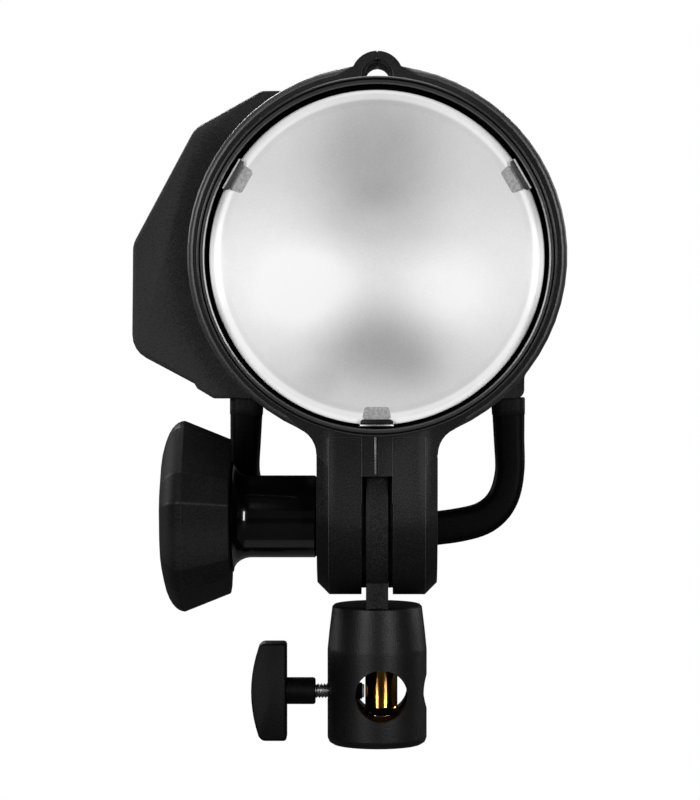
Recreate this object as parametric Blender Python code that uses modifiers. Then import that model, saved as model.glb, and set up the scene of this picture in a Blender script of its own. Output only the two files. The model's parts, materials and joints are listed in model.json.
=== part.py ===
"""Battery monolight strobe on a tilting stand yoke.

All lengths below are in millimetres and MM turns them into metres. The origin is the centre of the
stand adapter's lower face, +Z is up and the light points along -Y. Every moving piece hangs from an
empty on its joint's axis.
"""

from math import atan2, cos, pi, radians, sin, sqrt, tan

import bmesh
import bpy
from mathutils import Vector

MM = 0.001
GAP = 0.3  # air between pieces that touch

# stand adapter
BARREL_R = 16.6
BARREL_TOP = 46.8
SOCKET_X = 1.4  # the socket sits off centre, which leaves a thick wall for the clamp screw
SOCKET_R = 8.3
SPIGOT_R = 8.0
WAIST_R = 5.4
WINDOW_R = 8.6
SIDE_WINDOW_R = 5.8
CLAMP_Z = 17.7
SCREW_R = 2.45
TONGUE_HALF = 3.7
TONGUE_R = 25.5

# yoke and collar
TILT_Z = 76.2
CHEEK_R = 26.0
CHEEK_OUT = 19.9
CHEEK_CHAMFER = 4.0
SLOT_HALF = 5.0
SLOT_TOP = 91.3
SLOT_R = 26.8
HEAD_Z = 163.4
COLLAR_R = 62.1
COLLAR_FRONT = -25.6
COLLAR_BACK = 24.0
BOLT_R = 4.0
SLEEVE_R = 13.7
BOSS_Z = 221.4
BOSS_R = 8.6
UMBRELLA_Z = 222.15
UMBRELLA_R = 4.1
MOUTH_R = 5.2
GROOVE_R = 4.4  # the groove that leads the umbrella shaft over the housing

# head tube and lamp
TUBE_R = 54.6
TUBE_WALL = 2.2
RIM_FRONT = -111.5
RIM_BACK = -101.0
RIM_R = 54.6
RIM_BORE = 52.2
GLASS_R = 50.9

# housing
COVER_FRONT = 35.0
COVER_BACK = 44.0
SHELL_END = 168.0
PANEL_BACK = 172.5
SHELL = 2.4
TOP_Z = 219.5
BOTTOM_Z = 114.0
DOCK_X = -31.4
HANDLE_Y = 44.0
HANDLE_REACH = 45.3

# rear panel, as (x, z) centres
SCREEN = ((-5.0, 188.0), (37.0, 212.0))
DIAL = (16.0, 174.0)
BUTTONS = ((-14.0, 180.0), (-14.0, 166.0), (46.0, 180.0), (46.0, 166.0))
SYNC = (-18.5, 140.0)
FAN = (20.0, 138.0)
SCREWS = ((-25.5, 213.2), (21.0, 213.2), (-25.5, 120.0), (45.0, 121.0))
BUTTON_R = 4.0
FAN_R = 17.6

# the octagonal section of the housing, as (x, z, radius of the corner)
RIGHT_SIDE = [(27, TOP_Z, 5), (52, 200, 4), (61, 183, 4), (61, 141, 4), (50.5, 121.5, 3), (50.5, BOTTOM_Z, 3)]
LEFT_SIDE = [(-39.6, TOP_Z, 3), (-62.6, 206.6, 9), (-83.9, 167, 8), (-84.3, 130.5, 9), (-62.9, 119.1)]
TRAY_EDGE = [(-56.2, BOTTOM_Z, 2), (-61.9, 117.4)]

FRONT = (pi / 2, 0, 0)  # a drawing's x and y become X and Z, its depth runs to -Y
BACK = (-pi / 2, 0, 0)  # depth runs to +Y
LEFT = (0, -pi / 2, 0)  # depth runs to -X
SIDE = (pi / 2, 0, pi / 2)  # a drawing's x and y become Y and Z, its depth runs to +X
UP = (0, 0, 0)

for old in list(bpy.data.objects):
    bpy.data.objects.remove(old, do_unlink=True)

parts = bpy.data.collections.new("monolight_strobe")
cutters = bpy.data.collections.new("cutters")
for group in (parts, cutters):
    bpy.context.scene.collection.children.link(group)


# ---------------------------------------------------------------- materials


def material(name, colour, roughness, metallic=0.0, transmission=0.0):
    made = bpy.data.materials.new(name)
    made.use_nodes = True
    made.diffuse_color = (*colour, 1)
    shader = made.node_tree.nodes["Principled BSDF"]
    shader.inputs["Base Color"].default_value = (*colour, 1)
    shader.inputs["Roughness"].default_value = roughness
    shader.inputs["Metallic"].default_value = metallic
    shader.inputs["Transmission Weight"].default_value = transmission
    return made


BLACK_CAST = material("black_cast", (0.022, 0.022, 0.023), 0.5, 0.2)
BLACK_PLASTIC = material("black_plastic", (0.028, 0.028, 0.029), 0.55)
BLACK_GLOSS = material("black_gloss", (0.008, 0.008, 0.009), 0.12, 0.3)
RUBBER = material("rubber", (0.02, 0.02, 0.02), 0.8)
STEEL = material("steel", (0.6, 0.6, 0.6), 0.3, 1.0)
ALUMINIUM = material("aluminium", (0.8, 0.8, 0.8), 0.25, 1.0)
BRASS = material("brass", (0.78, 0.52, 0.2), 0.25, 1.0)
FROSTED = material("frosted_glass", (0.93, 0.93, 0.93), 0.6, 0.0, 0.6)
CLEAR = material("clear_glass", (0.95, 0.95, 0.95), 0.05, 0.0, 0.9)
CERAMIC = material("ceramic", (0.85, 0.84, 0.8), 0.5)
BOARD = material("board", (0.02, 0.16, 0.07), 0.5)
SCREEN_LOOK = material("screen", (0.01, 0.012, 0.015), 0.08)


# ---------------------------------------------------------------- drawing


def arc(centre, radius, start, end, steps=12):
    """Points on an arc, its angles in degrees."""
    angles = [radians(start + (end - start) * k / steps) for k in range(steps + 1)]
    return [(centre[0] + radius * cos(a), centre[1] + radius * sin(a)) for a in angles]


def circle(centre, radius, steps=24):
    return arc(centre, radius, 0, 360, steps)[:-1]


def rectangle(low, high, radius=0.0, steps=4):
    corners = [(low[0], low[1]), (high[0], low[1]), (high[0], high[1]), (low[0], high[1])]
    return outline([(*c, radius) for c in corners], steps)


def outline(corners, steps=4):
    """A closed outline from corner points (u, v) or (u, v, radius of the corner)."""
    points = []
    for i, corner in enumerate(corners):
        here = Vector(corner[:2])
        radius = corner[2] if len(corner) > 2 else 0.0
        if not radius:
            points.append(tuple(here))
            continue
        before = (Vector(corners[i - 1][:2]) - here).normalized()
        after = (Vector(corners[(i + 1) % len(corners)][:2]) - here).normalized()
        half = before.angle(after) / 2
        centre = here + (before + after).normalized() * (radius / sin(half))
        first = here + before * (radius / tan(half)) - centre
        last = here + after * (radius / tan(half)) - centre
        turn = atan2(first.x * last.y - first.y * last.x, first.dot(last))
        start = atan2(first.y, first.x)
        for k in range(steps + 1):
            angle = start + turn * k / steps
            points.append((centre.x + radius * cos(angle), centre.y + radius * sin(angle)))
    return points


# ---------------------------------------------------------------- modelling


def add(name, mesh, look, place=(0, 0, 0), turn=UP):
    """A finished piece, or a cutter when it has no look."""
    made = bpy.data.objects.new(name, mesh)
    (parts if look else cutters).objects.link(made)
    made.location = [v * MM for v in place]
    made.rotation_euler = turn
    if look:
        mesh.materials.append(look)
    else:
        made.hide_render = True
        made.display_type = "WIRE"
    mesh.shade_smooth()
    mesh.set_sharp_from_angle(angle=radians(35))
    return made


def as_mesh(curve):
    """The mesh of a curve, with its caps welded. The curve is removed."""
    bpy.context.view_layer.update()
    ready = curve.evaluated_get(bpy.context.evaluated_depsgraph_get())
    mesh = bpy.data.meshes.new_from_object(ready)
    shape = bmesh.new()
    shape.from_mesh(mesh)
    bmesh.ops.remove_doubles(shape, verts=shape.verts, dist=1e-6)
    bmesh.ops.dissolve_limit(
        shape, angle_limit=radians(0.2), verts=shape.verts, edges=shape.edges
    )
    bmesh.ops.recalc_face_normals(shape, faces=shape.faces)
    shape.to_mesh(mesh)
    shape.free()
    bpy.data.objects.remove(curve, do_unlink=True)
    return mesh


def flat_curve(name, loops, half, closed=True):
    data = bpy.data.curves.new(name, "CURVE")
    data.dimensions = "2D"
    data.fill_mode = "BOTH" if closed else "NONE"
    data.extrude = half * MM
    for points in loops:
        spline = data.splines.new("POLY")
        spline.points.add(len(points) - 1)
        for target, (u, v) in zip(spline.points, points):
            target.co = (u * MM, v * MM, 0, 1)
        spline.use_cyclic_u = closed
    made = bpy.data.objects.new(name, data)
    cutters.objects.link(made)
    return made


def depth_place(facing, low, high):
    """Where the middle of a drawing's depth lies."""
    middle = (low + high) / 2
    if facing in (FRONT, BACK):
        return (0, middle, 0)
    return (middle, 0, 0) if facing in (SIDE, LEFT) else (0, 0, middle)


def prism(name, loops, low, high, facing, look=None):
    """A flat outline, with any holes, between two planes."""
    mesh = as_mesh(flat_curve(name, loops, (high - low) / 2))
    return add(name, mesh, look, depth_place(facing, low, high), facing)


def ribbon(name, points, low, high, facing, look, inward):
    """A folded sheet of the shell's thickness."""
    mesh = as_mesh(flat_curve(name, [points], (high - low) / 2, closed=False))
    made = add(name, mesh, look, depth_place(facing, low, high), facing)
    solid = made.modifiers.new("thickness", "SOLIDIFY")
    solid.thickness = SHELL * MM
    solid.offset = inward
    solid.use_even_offset = True
    return made


def turned(name, profile, place, facing, look=None, steps=32, ring=False):
    """A turned piece from (radius, height) points, down the outer side and up any inner side."""
    mesh = bpy.data.meshes.new(name)
    edges = [(i, i + 1) for i in range(len(profile) - 1)]
    if ring:
        edges.append((len(profile) - 1, 0))
    mesh.from_pydata([(r * MM, 0, z * MM) for r, z in profile], edges, [])
    made = add(name, mesh, look, place, facing)
    screw = made.modifiers.new("turn", "SCREW")
    screw.steps = screw.render_steps = steps
    screw.use_merge_vertices = True
    screw.merge_threshold = 1e-6
    screw.use_smooth_shade = True
    return made


def rod(name, radius, place, facing, low, high, look=None, steps=24, chamfer=0.0):
    """A plain cylinder whose depth runs from low to high."""
    profile = [(0, high), (radius, high), (radius, low), (0, low)]
    if chamfer:
        flat = radius - chamfer
        profile[1:3] = [(flat, high), (radius, high - chamfer), (radius, low + chamfer), (flat, low)]
    return turned(name, profile, place, facing, look, steps)


def block(name, low, high, look=None, edge=0.0, segments=2):
    """A box between two corners, its edges rounded."""
    mesh = bpy.data.meshes.new(name)
    shape = bmesh.new()
    bmesh.ops.create_cube(shape, size=MM)
    size = [b - a for a, b in zip(low, high)]
    bmesh.ops.scale(shape, vec=size, verts=shape.verts)
    shape.to_mesh(mesh)
    shape.free()
    made = add(name, mesh, look, [(a + b) / 2 for a, b in zip(low, high)])
    if edge:
        soften(made, edge, segments)
    return made


def soften(piece, width, segments=2, angle=35):
    bevel = piece.modifiers.new("edges", "BEVEL")
    bevel.width = width * MM
    bevel.segments = segments
    bevel.limit_method = "ANGLE"
    bevel.angle_limit = radians(angle)
    bevel.use_clamp_overlap = True
    return bevel


def combine(piece, other, operation):
    step = piece.modifiers.new(operation.lower(), "BOOLEAN")
    step.operation = operation
    step.object = other
    weld = piece.modifiers.new("weld", "WELD")
    weld.merge_threshold = 0.005 * MM
    return piece


def cut(piece, *tools):
    for tool in tools:
        combine(piece, tool, "DIFFERENCE")
    return piece


def join(piece, *others):
    for other in others:
        combine(piece, other, "UNION")
    return piece


def swept(name, path, section, look, thick=None):
    """A bar of one closed section along a path of 3-D points, with flat ends. thick scales the section."""
    profile = flat_curve(name + "_section", [section], 0)
    profile.data.fill_mode = "NONE"
    profile.hide_render = True
    profile.display_type = "WIRE"
    data = bpy.data.curves.new(name, "CURVE")
    data.dimensions = "3D"
    data.bevel_mode = "OBJECT"
    data.bevel_object = profile
    data.use_fill_caps = True
    spline = data.splines.new("POLY")
    spline.points.add(len(path) - 1)
    for target, point, scale in zip(spline.points, path, thick or [1.0] * len(path)):
        target.co = (*[v * MM for v in point], 1)
        target.radius = scale
    curve = bpy.data.objects.new(name, data)
    cutters.objects.link(curve)
    mesh = as_mesh(curve)
    bpy.data.objects.remove(profile, do_unlink=True)
    return add(name, mesh, look)


def smooth_path(points, steps):
    """A Catmull-Rom curve through the points."""
    ends = [points[0], *points, points[-1]]
    path = []
    for i in range(1, len(ends) - 2):
        p0, p1, p2, p3 = (Vector(p) for p in ends[i - 1 : i + 3])
        for k in range(steps):
            t = k / steps
            bend = 2 * p0 - 5 * p1 + 4 * p2 - p3
            path.append(0.5 * (2 * p1 + (p2 - p0) * t + bend * t**2 + (3 * p1 - p0 - 3 * p2 + p3) * t**3))
    return [tuple(p) for p in path] + [points[-1]]


def pivot(name, place, *pieces):
    """An empty on a joint's axis that carries pieces."""
    made = bpy.data.objects.new(name, None)
    parts.objects.link(made)
    made.location = [v * MM for v in place]
    made.empty_display_size = 0.02
    bpy.context.view_layer.update()
    for piece in pieces:
        piece.parent = made
        piece.matrix_parent_inverse = made.matrix_world.inverted()
    return made


# ---------------------------------------------------------------- stand adapter


def stand_adapter():
    profile = [
        (0, BARREL_TOP), (14.5, BARREL_TOP), (15.2, BARREL_TOP - 0.7), (16.2, BARREL_TOP - 9),
        (BARREL_R, BARREL_TOP - 15), (BARREL_R, 2.2), (BARREL_R - 0.6, 0.8), (BARREL_R - 1.9, 0), (0, 0),
    ]
    barrel = turned("stand_adapter", profile, (0, 0, 0), UP, BLACK_CAST, 36)
    foot, start = 40.0, -56
    half = TONGUE_R * cos(radians(start))
    tongue_side = arc((0, TILT_Z), TONGUE_R, start, 180 - start, 24) + [(-half, foot), (half, foot)]
    tongue = prism("tongue", [tongue_side], -TONGUE_HALF, TONGUE_HALF, SIDE)
    socket = rod("socket_cut", SOCKET_R, (SOCKET_X, 0, 0), UP, -5, 39.3)
    window = rod("window_cut", WINDOW_R, (SOCKET_X, 0, CLAMP_Z), FRONT, -30, 30)
    screw_way = rod("screw_cut", SCREW_R + GAP, (0, 0, CLAMP_Z), LEFT, 5, 30, steps=12)
    side_window = rod("side_window_cut", SIDE_WINDOW_R, (0, 0, CLAMP_Z), LEFT, -30, -5)
    bolt_way = rod("bolt_cut", BOLT_R + GAP, (0, 0, TILT_Z), LEFT, -30, 30, steps=16)
    return cut(join(barrel, tongue), socket, window, side_window, screw_way, bolt_way)


def brass_spigot():
    """A standard spigot: 16 mm across, with a waist for the clamp and a tapped hole below."""
    profile = [
        (0, 39), (SPIGOT_R - 0.8, 39), (SPIGOT_R, 38.2), (SPIGOT_R, 28.6), (WAIST_R, 26.4), (WAIST_R, 12.4),
        (WAIST_R + 1.2, 11.2), (SPIGOT_R - 0.4, 10.6), (SPIGOT_R, 10.1), (SPIGOT_R, 1), (SPIGOT_R - 0.7, 0.3),
        (4.3, 0.3), (4.3, 13), (0, 15),
    ]
    return turned("brass_spigot", profile, (SOCKET_X, 0, 0), UP, BRASS, 24)


def clamp():
    """The screw with its wing knob, and the pad on its tip that bears on the spigot's waist."""
    tip = WAIST_R - SOCKET_X + GAP
    pad = rod("clamp_pad", 2.3, (0, 0, CLAMP_Z), LEFT, tip, tip + 2.6, STEEL, 20, 0.3)
    screw = rod("clamp_screw", SCREW_R, (0, 0, CLAMP_Z), LEFT, tip + 2.9, 29.2, STEEL, 20, 0.3)
    back, crown, half_height, bow = 30.2, 42.1, 16.4, 14.9
    curve = [(-crown + 2.5 * (k / 5) ** 2, CLAMP_Z - bow * k / 5) for k in range(-5, 6)]
    corners = [(-back, CLAMP_Z + half_height), (-38.4, CLAMP_Z + half_height), *curve]
    corners += [(-38.4, CLAMP_Z - half_height), (-back, CLAMP_Z - half_height)]
    wing = prism("clamp_knob", [corners], -5.2, 5.2, FRONT, BLACK_PLASTIC)
    soften(wing, 1.0)
    hub = rod("hub_add", 4.55, (0, 0, CLAMP_Z), LEFT, 20.6, 33, steps=24, chamfer=0.5)
    hole = rod("knob_hole_cut", SCREW_R + GAP, (0, 0, CLAMP_Z), LEFT, 15, 29.5, steps=20)
    cut(join(wing, hub), hole)
    pivot("clamp_pad_slide", (-tip, 0, CLAMP_Z), pad)
    pivot("clamp_turn", (-back, 0, CLAMP_Z), screw, wing)


# ---------------------------------------------------------------- yoke


def cheek(name, side):
    """One fork cheek, its outer edge chamfered all round."""
    top = 104.0
    disc = arc((0, TILT_Z), CHEEK_R, 180, 360, 24)
    back = COLLAR_BACK - 0.4
    drawing = disc + [(back, 90), (back, top), (-CHEEK_R, top)]
    half = (CHEEK_OUT - CHEEK_CHAMFER - SLOT_HALF) / 2
    mesh = as_mesh(flat_curve(name, [drawing], half))
    shape = bmesh.new()
    shape.from_mesh(mesh)
    outer = max(shape.faces, key=lambda f: f.calc_center_median().z * side)
    depth = CHEEK_CHAMFER * MM
    bmesh.ops.inset_region(shape, faces=[outer], thickness=depth, depth=depth, use_even_offset=True)
    shape.to_mesh(mesh)
    shape.free()
    return add(name, mesh, None, (side * (SLOT_HALF + half), 0, 0), SIDE)


def collar_outline(side):
    """The front view of one half: ring, umbrella boss and the fillet that leads into the cheek."""
    split = 0.2
    centre, boss, hole = (0, HEAD_Z), (0, BOSS_Z), (0, UMBRELLA_Z)
    lift = BOSS_Z - HEAD_Z
    meet = (lift**2 + COLLAR_R**2 - BOSS_R**2) / (2 * lift)
    meet_x = sqrt(COLLAR_R**2 - meet**2)
    boss_end = atan2(HEAD_Z + meet - BOSS_Z, meet_x) * 180 / pi
    ring_start = atan2(meet, meet_x) * 180 / pi
    fillet = 9.0
    fillet_x = CHEEK_OUT + fillet
    drop = sqrt((COLLAR_R + fillet) ** 2 - fillet_x**2)
    ring_end = -atan2(drop, fillet_x) * 180 / pi
    bore = TUBE_R + GAP
    points = arc(boss, BOSS_R, 90 - 1.4, boss_end, 8)[:-1]
    points += arc(centre, COLLAR_R, ring_start, ring_end, 26)
    points += arc((fillet_x, HEAD_Z - drop), fillet, 180 + ring_end, 180, 6)[1:]
    inner = CHEEK_OUT - CHEEK_CHAMFER - 2
    points += [(inner, HEAD_Z - drop - 5.5), (inner, SLOT_TOP), (split, SLOT_TOP)]
    points += arc(centre, bore, -90 + 0.25, 90 - 1.8, 28)
    points += arc(hole, UMBRELLA_R, -65, 90 - 2.8, 10)
    return [(side * x, z) for x, z in points]


def collar(name, side):
    half = prism(name, [collar_outline(side)], COLLAR_FRONT, COLLAR_BACK, FRONT, BLACK_CAST)
    join(half, cheek(name + "_cheek", side))
    reach = SLOT_HALF + 0.2
    slot = rod(name + "_slot_cut", SLOT_R, (0, 0, TILT_Z), LEFT, -reach, reach, steps=36)
    bolt_way = rod(name + "_bolt_cut", BOLT_R + GAP, (0, 0, TILT_Z), LEFT, -30, 30, steps=16)
    cut(half, slot, bolt_way)
    front = -COLLAR_FRONT
    cut(half, rod(name + "_mouth_cut", MOUTH_R, (0, 0, UMBRELLA_Z), FRONT, front - 1.6, front + 4))
    for y in (-20.0, 20.0):
        low, high = (-18.0, 6.0) if side < 0 else (-1.0, 30.0)
        way = rod(f"{name}_way_cut_{y:+.0f}", 1.5 + GAP, (0, y, 99.5), LEFT, -high, -low, steps=12)
        cut(half, way)
        if side > 0:
            seat = rod(f"{name}_seat_cut_{y:+.0f}", 3.2, (0, y, 99.5), LEFT, -30, -16.6, steps=12)
            cut(half, seat)
    if side > 0:
        head_seat = rod("bolt_head_cut", 7.9, (0, 0, TILT_Z), LEFT, -30, -14.7, steps=20)
        cut(half, head_seat)
    return half


def cap_screw(name, radius, head_r, head, place, facing, low, high, look=STEEL):
    """A socket screw: its head is at the high end of its depth."""
    profile = [
        (0, high - head * 0.5), (head_r * 0.5, high - head * 0.5), (head_r * 0.5, high), (head_r - 0.3, high),
        (head_r, high - 0.3), (head_r, high - head), (radius, high - head), (radius, low), (0, low),
    ]
    return turned(name, profile, place, facing, look, 12)


def tilt_lock():
    """The bolt on the tilt axis, its distance sleeve, lobed knob and the two friction washers."""
    axis = (0, 0, TILT_Z)
    for name, side in (("friction_washer_left", 1), ("friction_washer_right", -1)):
        low, high = sorted((side * (TONGUE_HALF + GAP), side * (SLOT_HALF - GAP)))
        ring = [(23.5, high), (23.5, low), (BOLT_R + GAP, low), (BOLT_R + GAP, high)]
        turned(name, ring, axis, LEFT, STEEL, 28, ring=True)
    bolt = [
        (0, 62.0), (BOLT_R - 0.5, 62.0), (BOLT_R, 61.5), (BOLT_R, -15.0), (7.5, -15.0), (7.5, -19.2),
        (7.0, -19.7), (3.2, -19.7), (3.2, -17.2), (0, -17.2),
    ]
    turned("tilt_bolt", bolt, axis, LEFT, STEEL, 16)
    flare = []
    for degrees in range(0, 91, 15):
        a = radians(degrees)
        flare.append((SLEEVE_R + 4.8 * (1 - sin(a)), 48.4 - 6.6 * (1 - cos(a))))
    bore = BOLT_R + GAP
    sleeve_side = flare + [(SLEEVE_R, 20.2), (bore, 20.2), (bore, 48.4)]
    sleeve = turned("tilt_sleeve", sleeve_side, axis, LEFT, BLACK_GLOSS, 32, ring=True)
    insert_side = [(6.6, 61.0), (6.6, 49.2), (bore, 49.2), (bore, 61.0)]
    insert = turned("knob_insert", insert_side, axis, LEFT, BRASS, 24, ring=True)
    knob = tilt_knob()
    pivot("tilt_sleeve_slide", (-20.2, 0, TILT_Z), sleeve)
    pivot("tilt_knob_turn", (-48.7, 0, TILT_Z), knob, insert)


def tilt_knob():
    """A six-lobed knob: flats and narrow ridges alternate round a cone with a domed end."""
    back, rim, crown = 48.7, 64.2, 72.4
    widest = 32.0
    rings = [(26.0, back), (widest, rim)]
    for degrees in (28, 50, 68, 82):
        a = radians(degrees)
        rings.append((widest * cos(a) ** 0.55, rim + (crown - rim) * sin(a)))
    angles = [radians(60 * k - 68.3 + half) for k in range(6) for half in (-10, 10)]
    mesh = bpy.data.meshes.new("tilt_knob")
    shape = bmesh.new()
    loops = [[shape.verts.new((r * MM * cos(a), r * MM * sin(a), z * MM)) for a in angles] for r, z in rings]
    for lower, upper in zip(loops, loops[1:]):
        for i in range(len(angles)):
            j = (i + 1) % len(angles)
            shape.faces.new((lower[i], lower[j], upper[j], upper[i]))
    shape.faces.new(loops[-1])
    shape.faces.new(loops[0][::-1])
    bmesh.ops.recalc_face_normals(shape, faces=shape.faces)
    shape.to_mesh(mesh)
    shape.free()
    knob = add("tilt_knob", mesh, BLACK_PLASTIC, (0, 0, TILT_Z), LEFT)
    return cut(knob, rod("insert_cut", 6.9, (0, 0, TILT_Z), LEFT, 40, 62.5, steps=24))


# ---------------------------------------------------------------- head tube and lamp


def on_head(name, profile, look, steps=64, ring=True):
    """A piece turned about the head's axis, its heights measured towards the front from Y = 0."""
    return turned(name, profile, (0, 0, HEAD_Z), FRONT, look, steps, ring)


def front_end():
    bore = TUBE_R - TUBE_WALL
    tube_front, tube_back = -RIM_BACK - GAP, -COVER_FRONT + GAP
    tube = [(TUBE_R, tube_front), (TUBE_R, tube_back), (bore, tube_back), (bore, tube_front)]
    on_head("head_tube", tube, BLACK_CAST)
    rim = [
        (RIM_R - 0.5, -RIM_FRONT), (RIM_R, -RIM_FRONT - 0.5), (RIM_R, -RIM_BACK), (RIM_BORE, -RIM_BACK),
        (RIM_BORE, -RIM_FRONT - 1.0), (RIM_BORE + 0.8, -RIM_FRONT - 0.6), (RIM_BORE + 0.9, -RIM_FRONT),
    ]
    on_head("front_rim", rim, BLACK_CAST, 56)
    edge, crown = 103.0, 109.2
    front = [(0, crown)]
    for degrees in (40, 62, 78, 88):
        a = radians(degrees)
        front.append((GLASS_R * sin(a), crown - 3.6 * (1 - cos(a)) ** 0.9))
    glass = front + [(GLASS_R, edge + 2.3), (GLASS_R, edge), (GLASS_R - 3, edge)]
    glass += [(r * 0.93, z - 2.6) for r, z in reversed(front[1:-1])] + [(0, crown - 2.6)]
    on_head("glass_cover", glass, FROSTED, 36, ring=False)
    for number, angle in enumerate((30, 150, 270), 1):
        glass_clip(f"glass_clip_{number}", angle)


def glass_clip(name, angle):
    """A spring clip bent round the edge of the glass."""
    web, lip, tab = 51.7, 49.2, 46.4
    side = [
        (lip, 107.6), (web, 107.6), (web, 101.9), (tab, 101.9), (tab, 102.6), (web - 0.5, 102.6),
        (web - 0.5, 106.9), (lip, 106.9),
    ]
    mesh = as_mesh(flat_curve(name, [side], 5.0))
    shape = bmesh.new()
    shape.from_mesh(mesh)
    a = radians(angle)
    for vert in shape.verts:
        r, forward, across = vert.co
        vert.co = (r * cos(a) - across * sin(a), -forward, r * sin(a) + across * cos(a))
    bmesh.ops.recalc_face_normals(shape, faces=shape.faces)
    shape.to_mesh(mesh)
    shape.free()
    return add(name, mesh, ALUMINIUM, (0, 0, HEAD_Z))


def lamp():
    """The dish, flash tube, modelling lamp and the plate that carries them inside the head tube."""
    throat, mouth, deep, rim_z = 20.0, 50.2, 46.0, 101.4
    curve = []
    for k in range(6):
        t = k / 5
        curve.append((throat + (mouth - throat) * t**0.6, deep + (rim_z - 1.6 - deep) * t**1.5))
    wall = 1.2
    outer = [(r + wall, z - 0.6) for r, z in reversed(curve)]
    dish = [(RIM_BORE - GAP, rim_z), (RIM_BORE - GAP, rim_z - 1)] + outer + curve[:1] + curve[1:-1]
    dish += [(mouth, rim_z)]
    on_head("reflector", dish, ALUMINIUM, 24)
    base = [(17.0, 50.0), (17.0, 38.6), (9.0, 38.6), (9.0, 50.0)]
    carrier = on_head("tube_base", base, CERAMIC, 24)
    ring_r, tube_r, ring_y, foot_y = 12.6, 2.6, 72.0, 42.0
    gap = radians(16)
    angles = [gap + (2 * pi - 2 * gap) * k / 16 for k in range(17)]
    loop = [(ring_r * sin(a), -ring_y, HEAD_Z - ring_r * cos(a)) for a in angles]
    first, last = loop[0], loop[-1]
    path = [(first[0], -foot_y, first[2]), (first[0], -ring_y + 3, first[2])] + loop
    path += [(last[0], -ring_y + 3, last[2]), (last[0], -foot_y, last[2])]
    swept("flash_tube", path, circle((0, 0), tube_r, 8), CLEAR)
    for end in (first, last):
        way = rod(f"tube_way_cut_{end[0]:+.0f}", tube_r + 0.5, (end[0], 0, end[2]), FRONT, 41, 60, steps=12)
        cut(carrier, way)
    led = [
        (0, 60.0), (3.4, 59.4), (6.0, 57.2), (7.0, 54.0), (8.5, 53.2), (8.5, 38.6), (0, 38.6),
    ]
    on_head("modelling_lamp", led, CERAMIC, 16, ring=False)
    bore = TUBE_R - TUBE_WALL - GAP
    plate = [(0, 38.2), (bore, 38.2), (bore, 30.0), (bore - 2, 30.0), (bore - 2, 35.8), (0, 35.8)]
    on_head("lamp_plate", plate, ALUMINIUM, 32, ring=False)
    fins = [(0, 35.4)]
    for k in range(4):
        top = 35.4 - 9 * k
        fins += [(24, top), (24, top - 3), (11, top - 3), (11, top - 9)]
    fins += [(0, fins[-1][1])]
    on_head("lamp_heatsink", fins, ALUMINIUM, 16, ring=False)


# ---------------------------------------------------------------- housing


def front_cover():
    """The front moulding, dished round the collar, with a collar that carries the head tube."""
    corners = RIGHT_SIDE + TRAY_EDGE + LEFT_SIDE[::-1]
    cover = prism("front_cover", [outline(corners)], COVER_FRONT, COVER_BACK, FRONT, BLACK_PLASTIC)
    soften(cover, 1.2)
    neck_r = TUBE_R - TUBE_WALL - GAP
    neck = rod("neck_add", neck_r, (0, 0, HEAD_Z), BACK, 18, 38, steps=40)
    neck_bore = rod("neck_cut", 44.0, (0, 0, HEAD_Z), FRONT, -60, 0, steps=40)
    dish = [(70, -30), (70, -COVER_FRONT), (55.3, -COVER_FRONT - 3.4), (55.3, -30)]
    dish_cut = on_head("dish_cut", dish, None, 56)
    umbrella = rod("cover_groove_cut", GROOVE_R, (0, 0, UMBRELLA_Z), FRONT, -60, 0, steps=16)
    return cut(join(cut(cover, dish_cut), neck), neck_bore, umbrella)


def shells():
    low, high = COVER_BACK + GAP, SHELL_END
    top = outline([(-31.1, TOP_Z)] + RIGHT_SIDE[:3] + [(61, 163.2)])
    upper = ribbon("housing_top", top, low, high, FRONT, BLACK_PLASTIC, -1)
    cut(upper, rod("top_groove_cut", GROOVE_R, (0, 0, UMBRELLA_Z), FRONT, -200, 0, steps=16))
    bottom = outline([(61, 162.9)] + RIGHT_SIDE[3:] + TRAY_EDGE)
    ribbon("housing_bottom", bottom, low, high, FRONT, BLACK_PLASTIC, -1)
    dock = block("battery_dock", (DOCK_X, low + 1, 117.0), (DOCK_X + 2.4, high - 1, 216.6), BLACK_PLASTIC)
    rail = block("rail_add", (-36.2, 60, 162), (DOCK_X + 1, 150, 172))
    join(dock, rail)
    block("battery_contacts", (-35.4, 62, 148), (-31.7, 76, 158), BRASS, 0.4)


def handle():
    """The U-shaped grip under the housing, behind the yoke."""
    x = HANDLE_REACH
    half = [(x, 113.7), (x + 0.4, 100), (x + 0.6, 88), (x - 1.9, 78.4)]
    half += [(37.6, 72.4), (28.5, 69.6), (15, 68), (0, 67.4)]
    bar = [(x, HANDLE_Y, z) for x, z in half]
    bar += [(-x, y, z) for x, y, z in reversed(bar[:-1])]
    slim = [1.0, 0.92, 0.88, 0.92, 0.97, 1.0, 1.0, 1.0]
    section = outline([(-5.7, -5.4, 3.2), (5.7, -5.4, 3.2), (5.7, 5.4, 3.2), (-5.7, 5.4, 3.2)], 2)
    steps = 2
    thick = [a + (b - a) * k / steps for a, b in zip(slim, slim[1:]) for k in range(steps)]
    thick = thick + [1.0] + thick[::-1]
    return swept("handle", smooth_path(bar, steps), section, RUBBER, thick)


def inside():
    for number, x in enumerate((-8, 30), 1):
        place = (x, 0, 140)
        rod(f"capacitor_{number}", 17, place, BACK, 62, 138, BLACK_PLASTIC, 24, 1.2)
    block("main_board", (-25, 55, 190), (49, 150, 191.6), BOARD)


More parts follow.
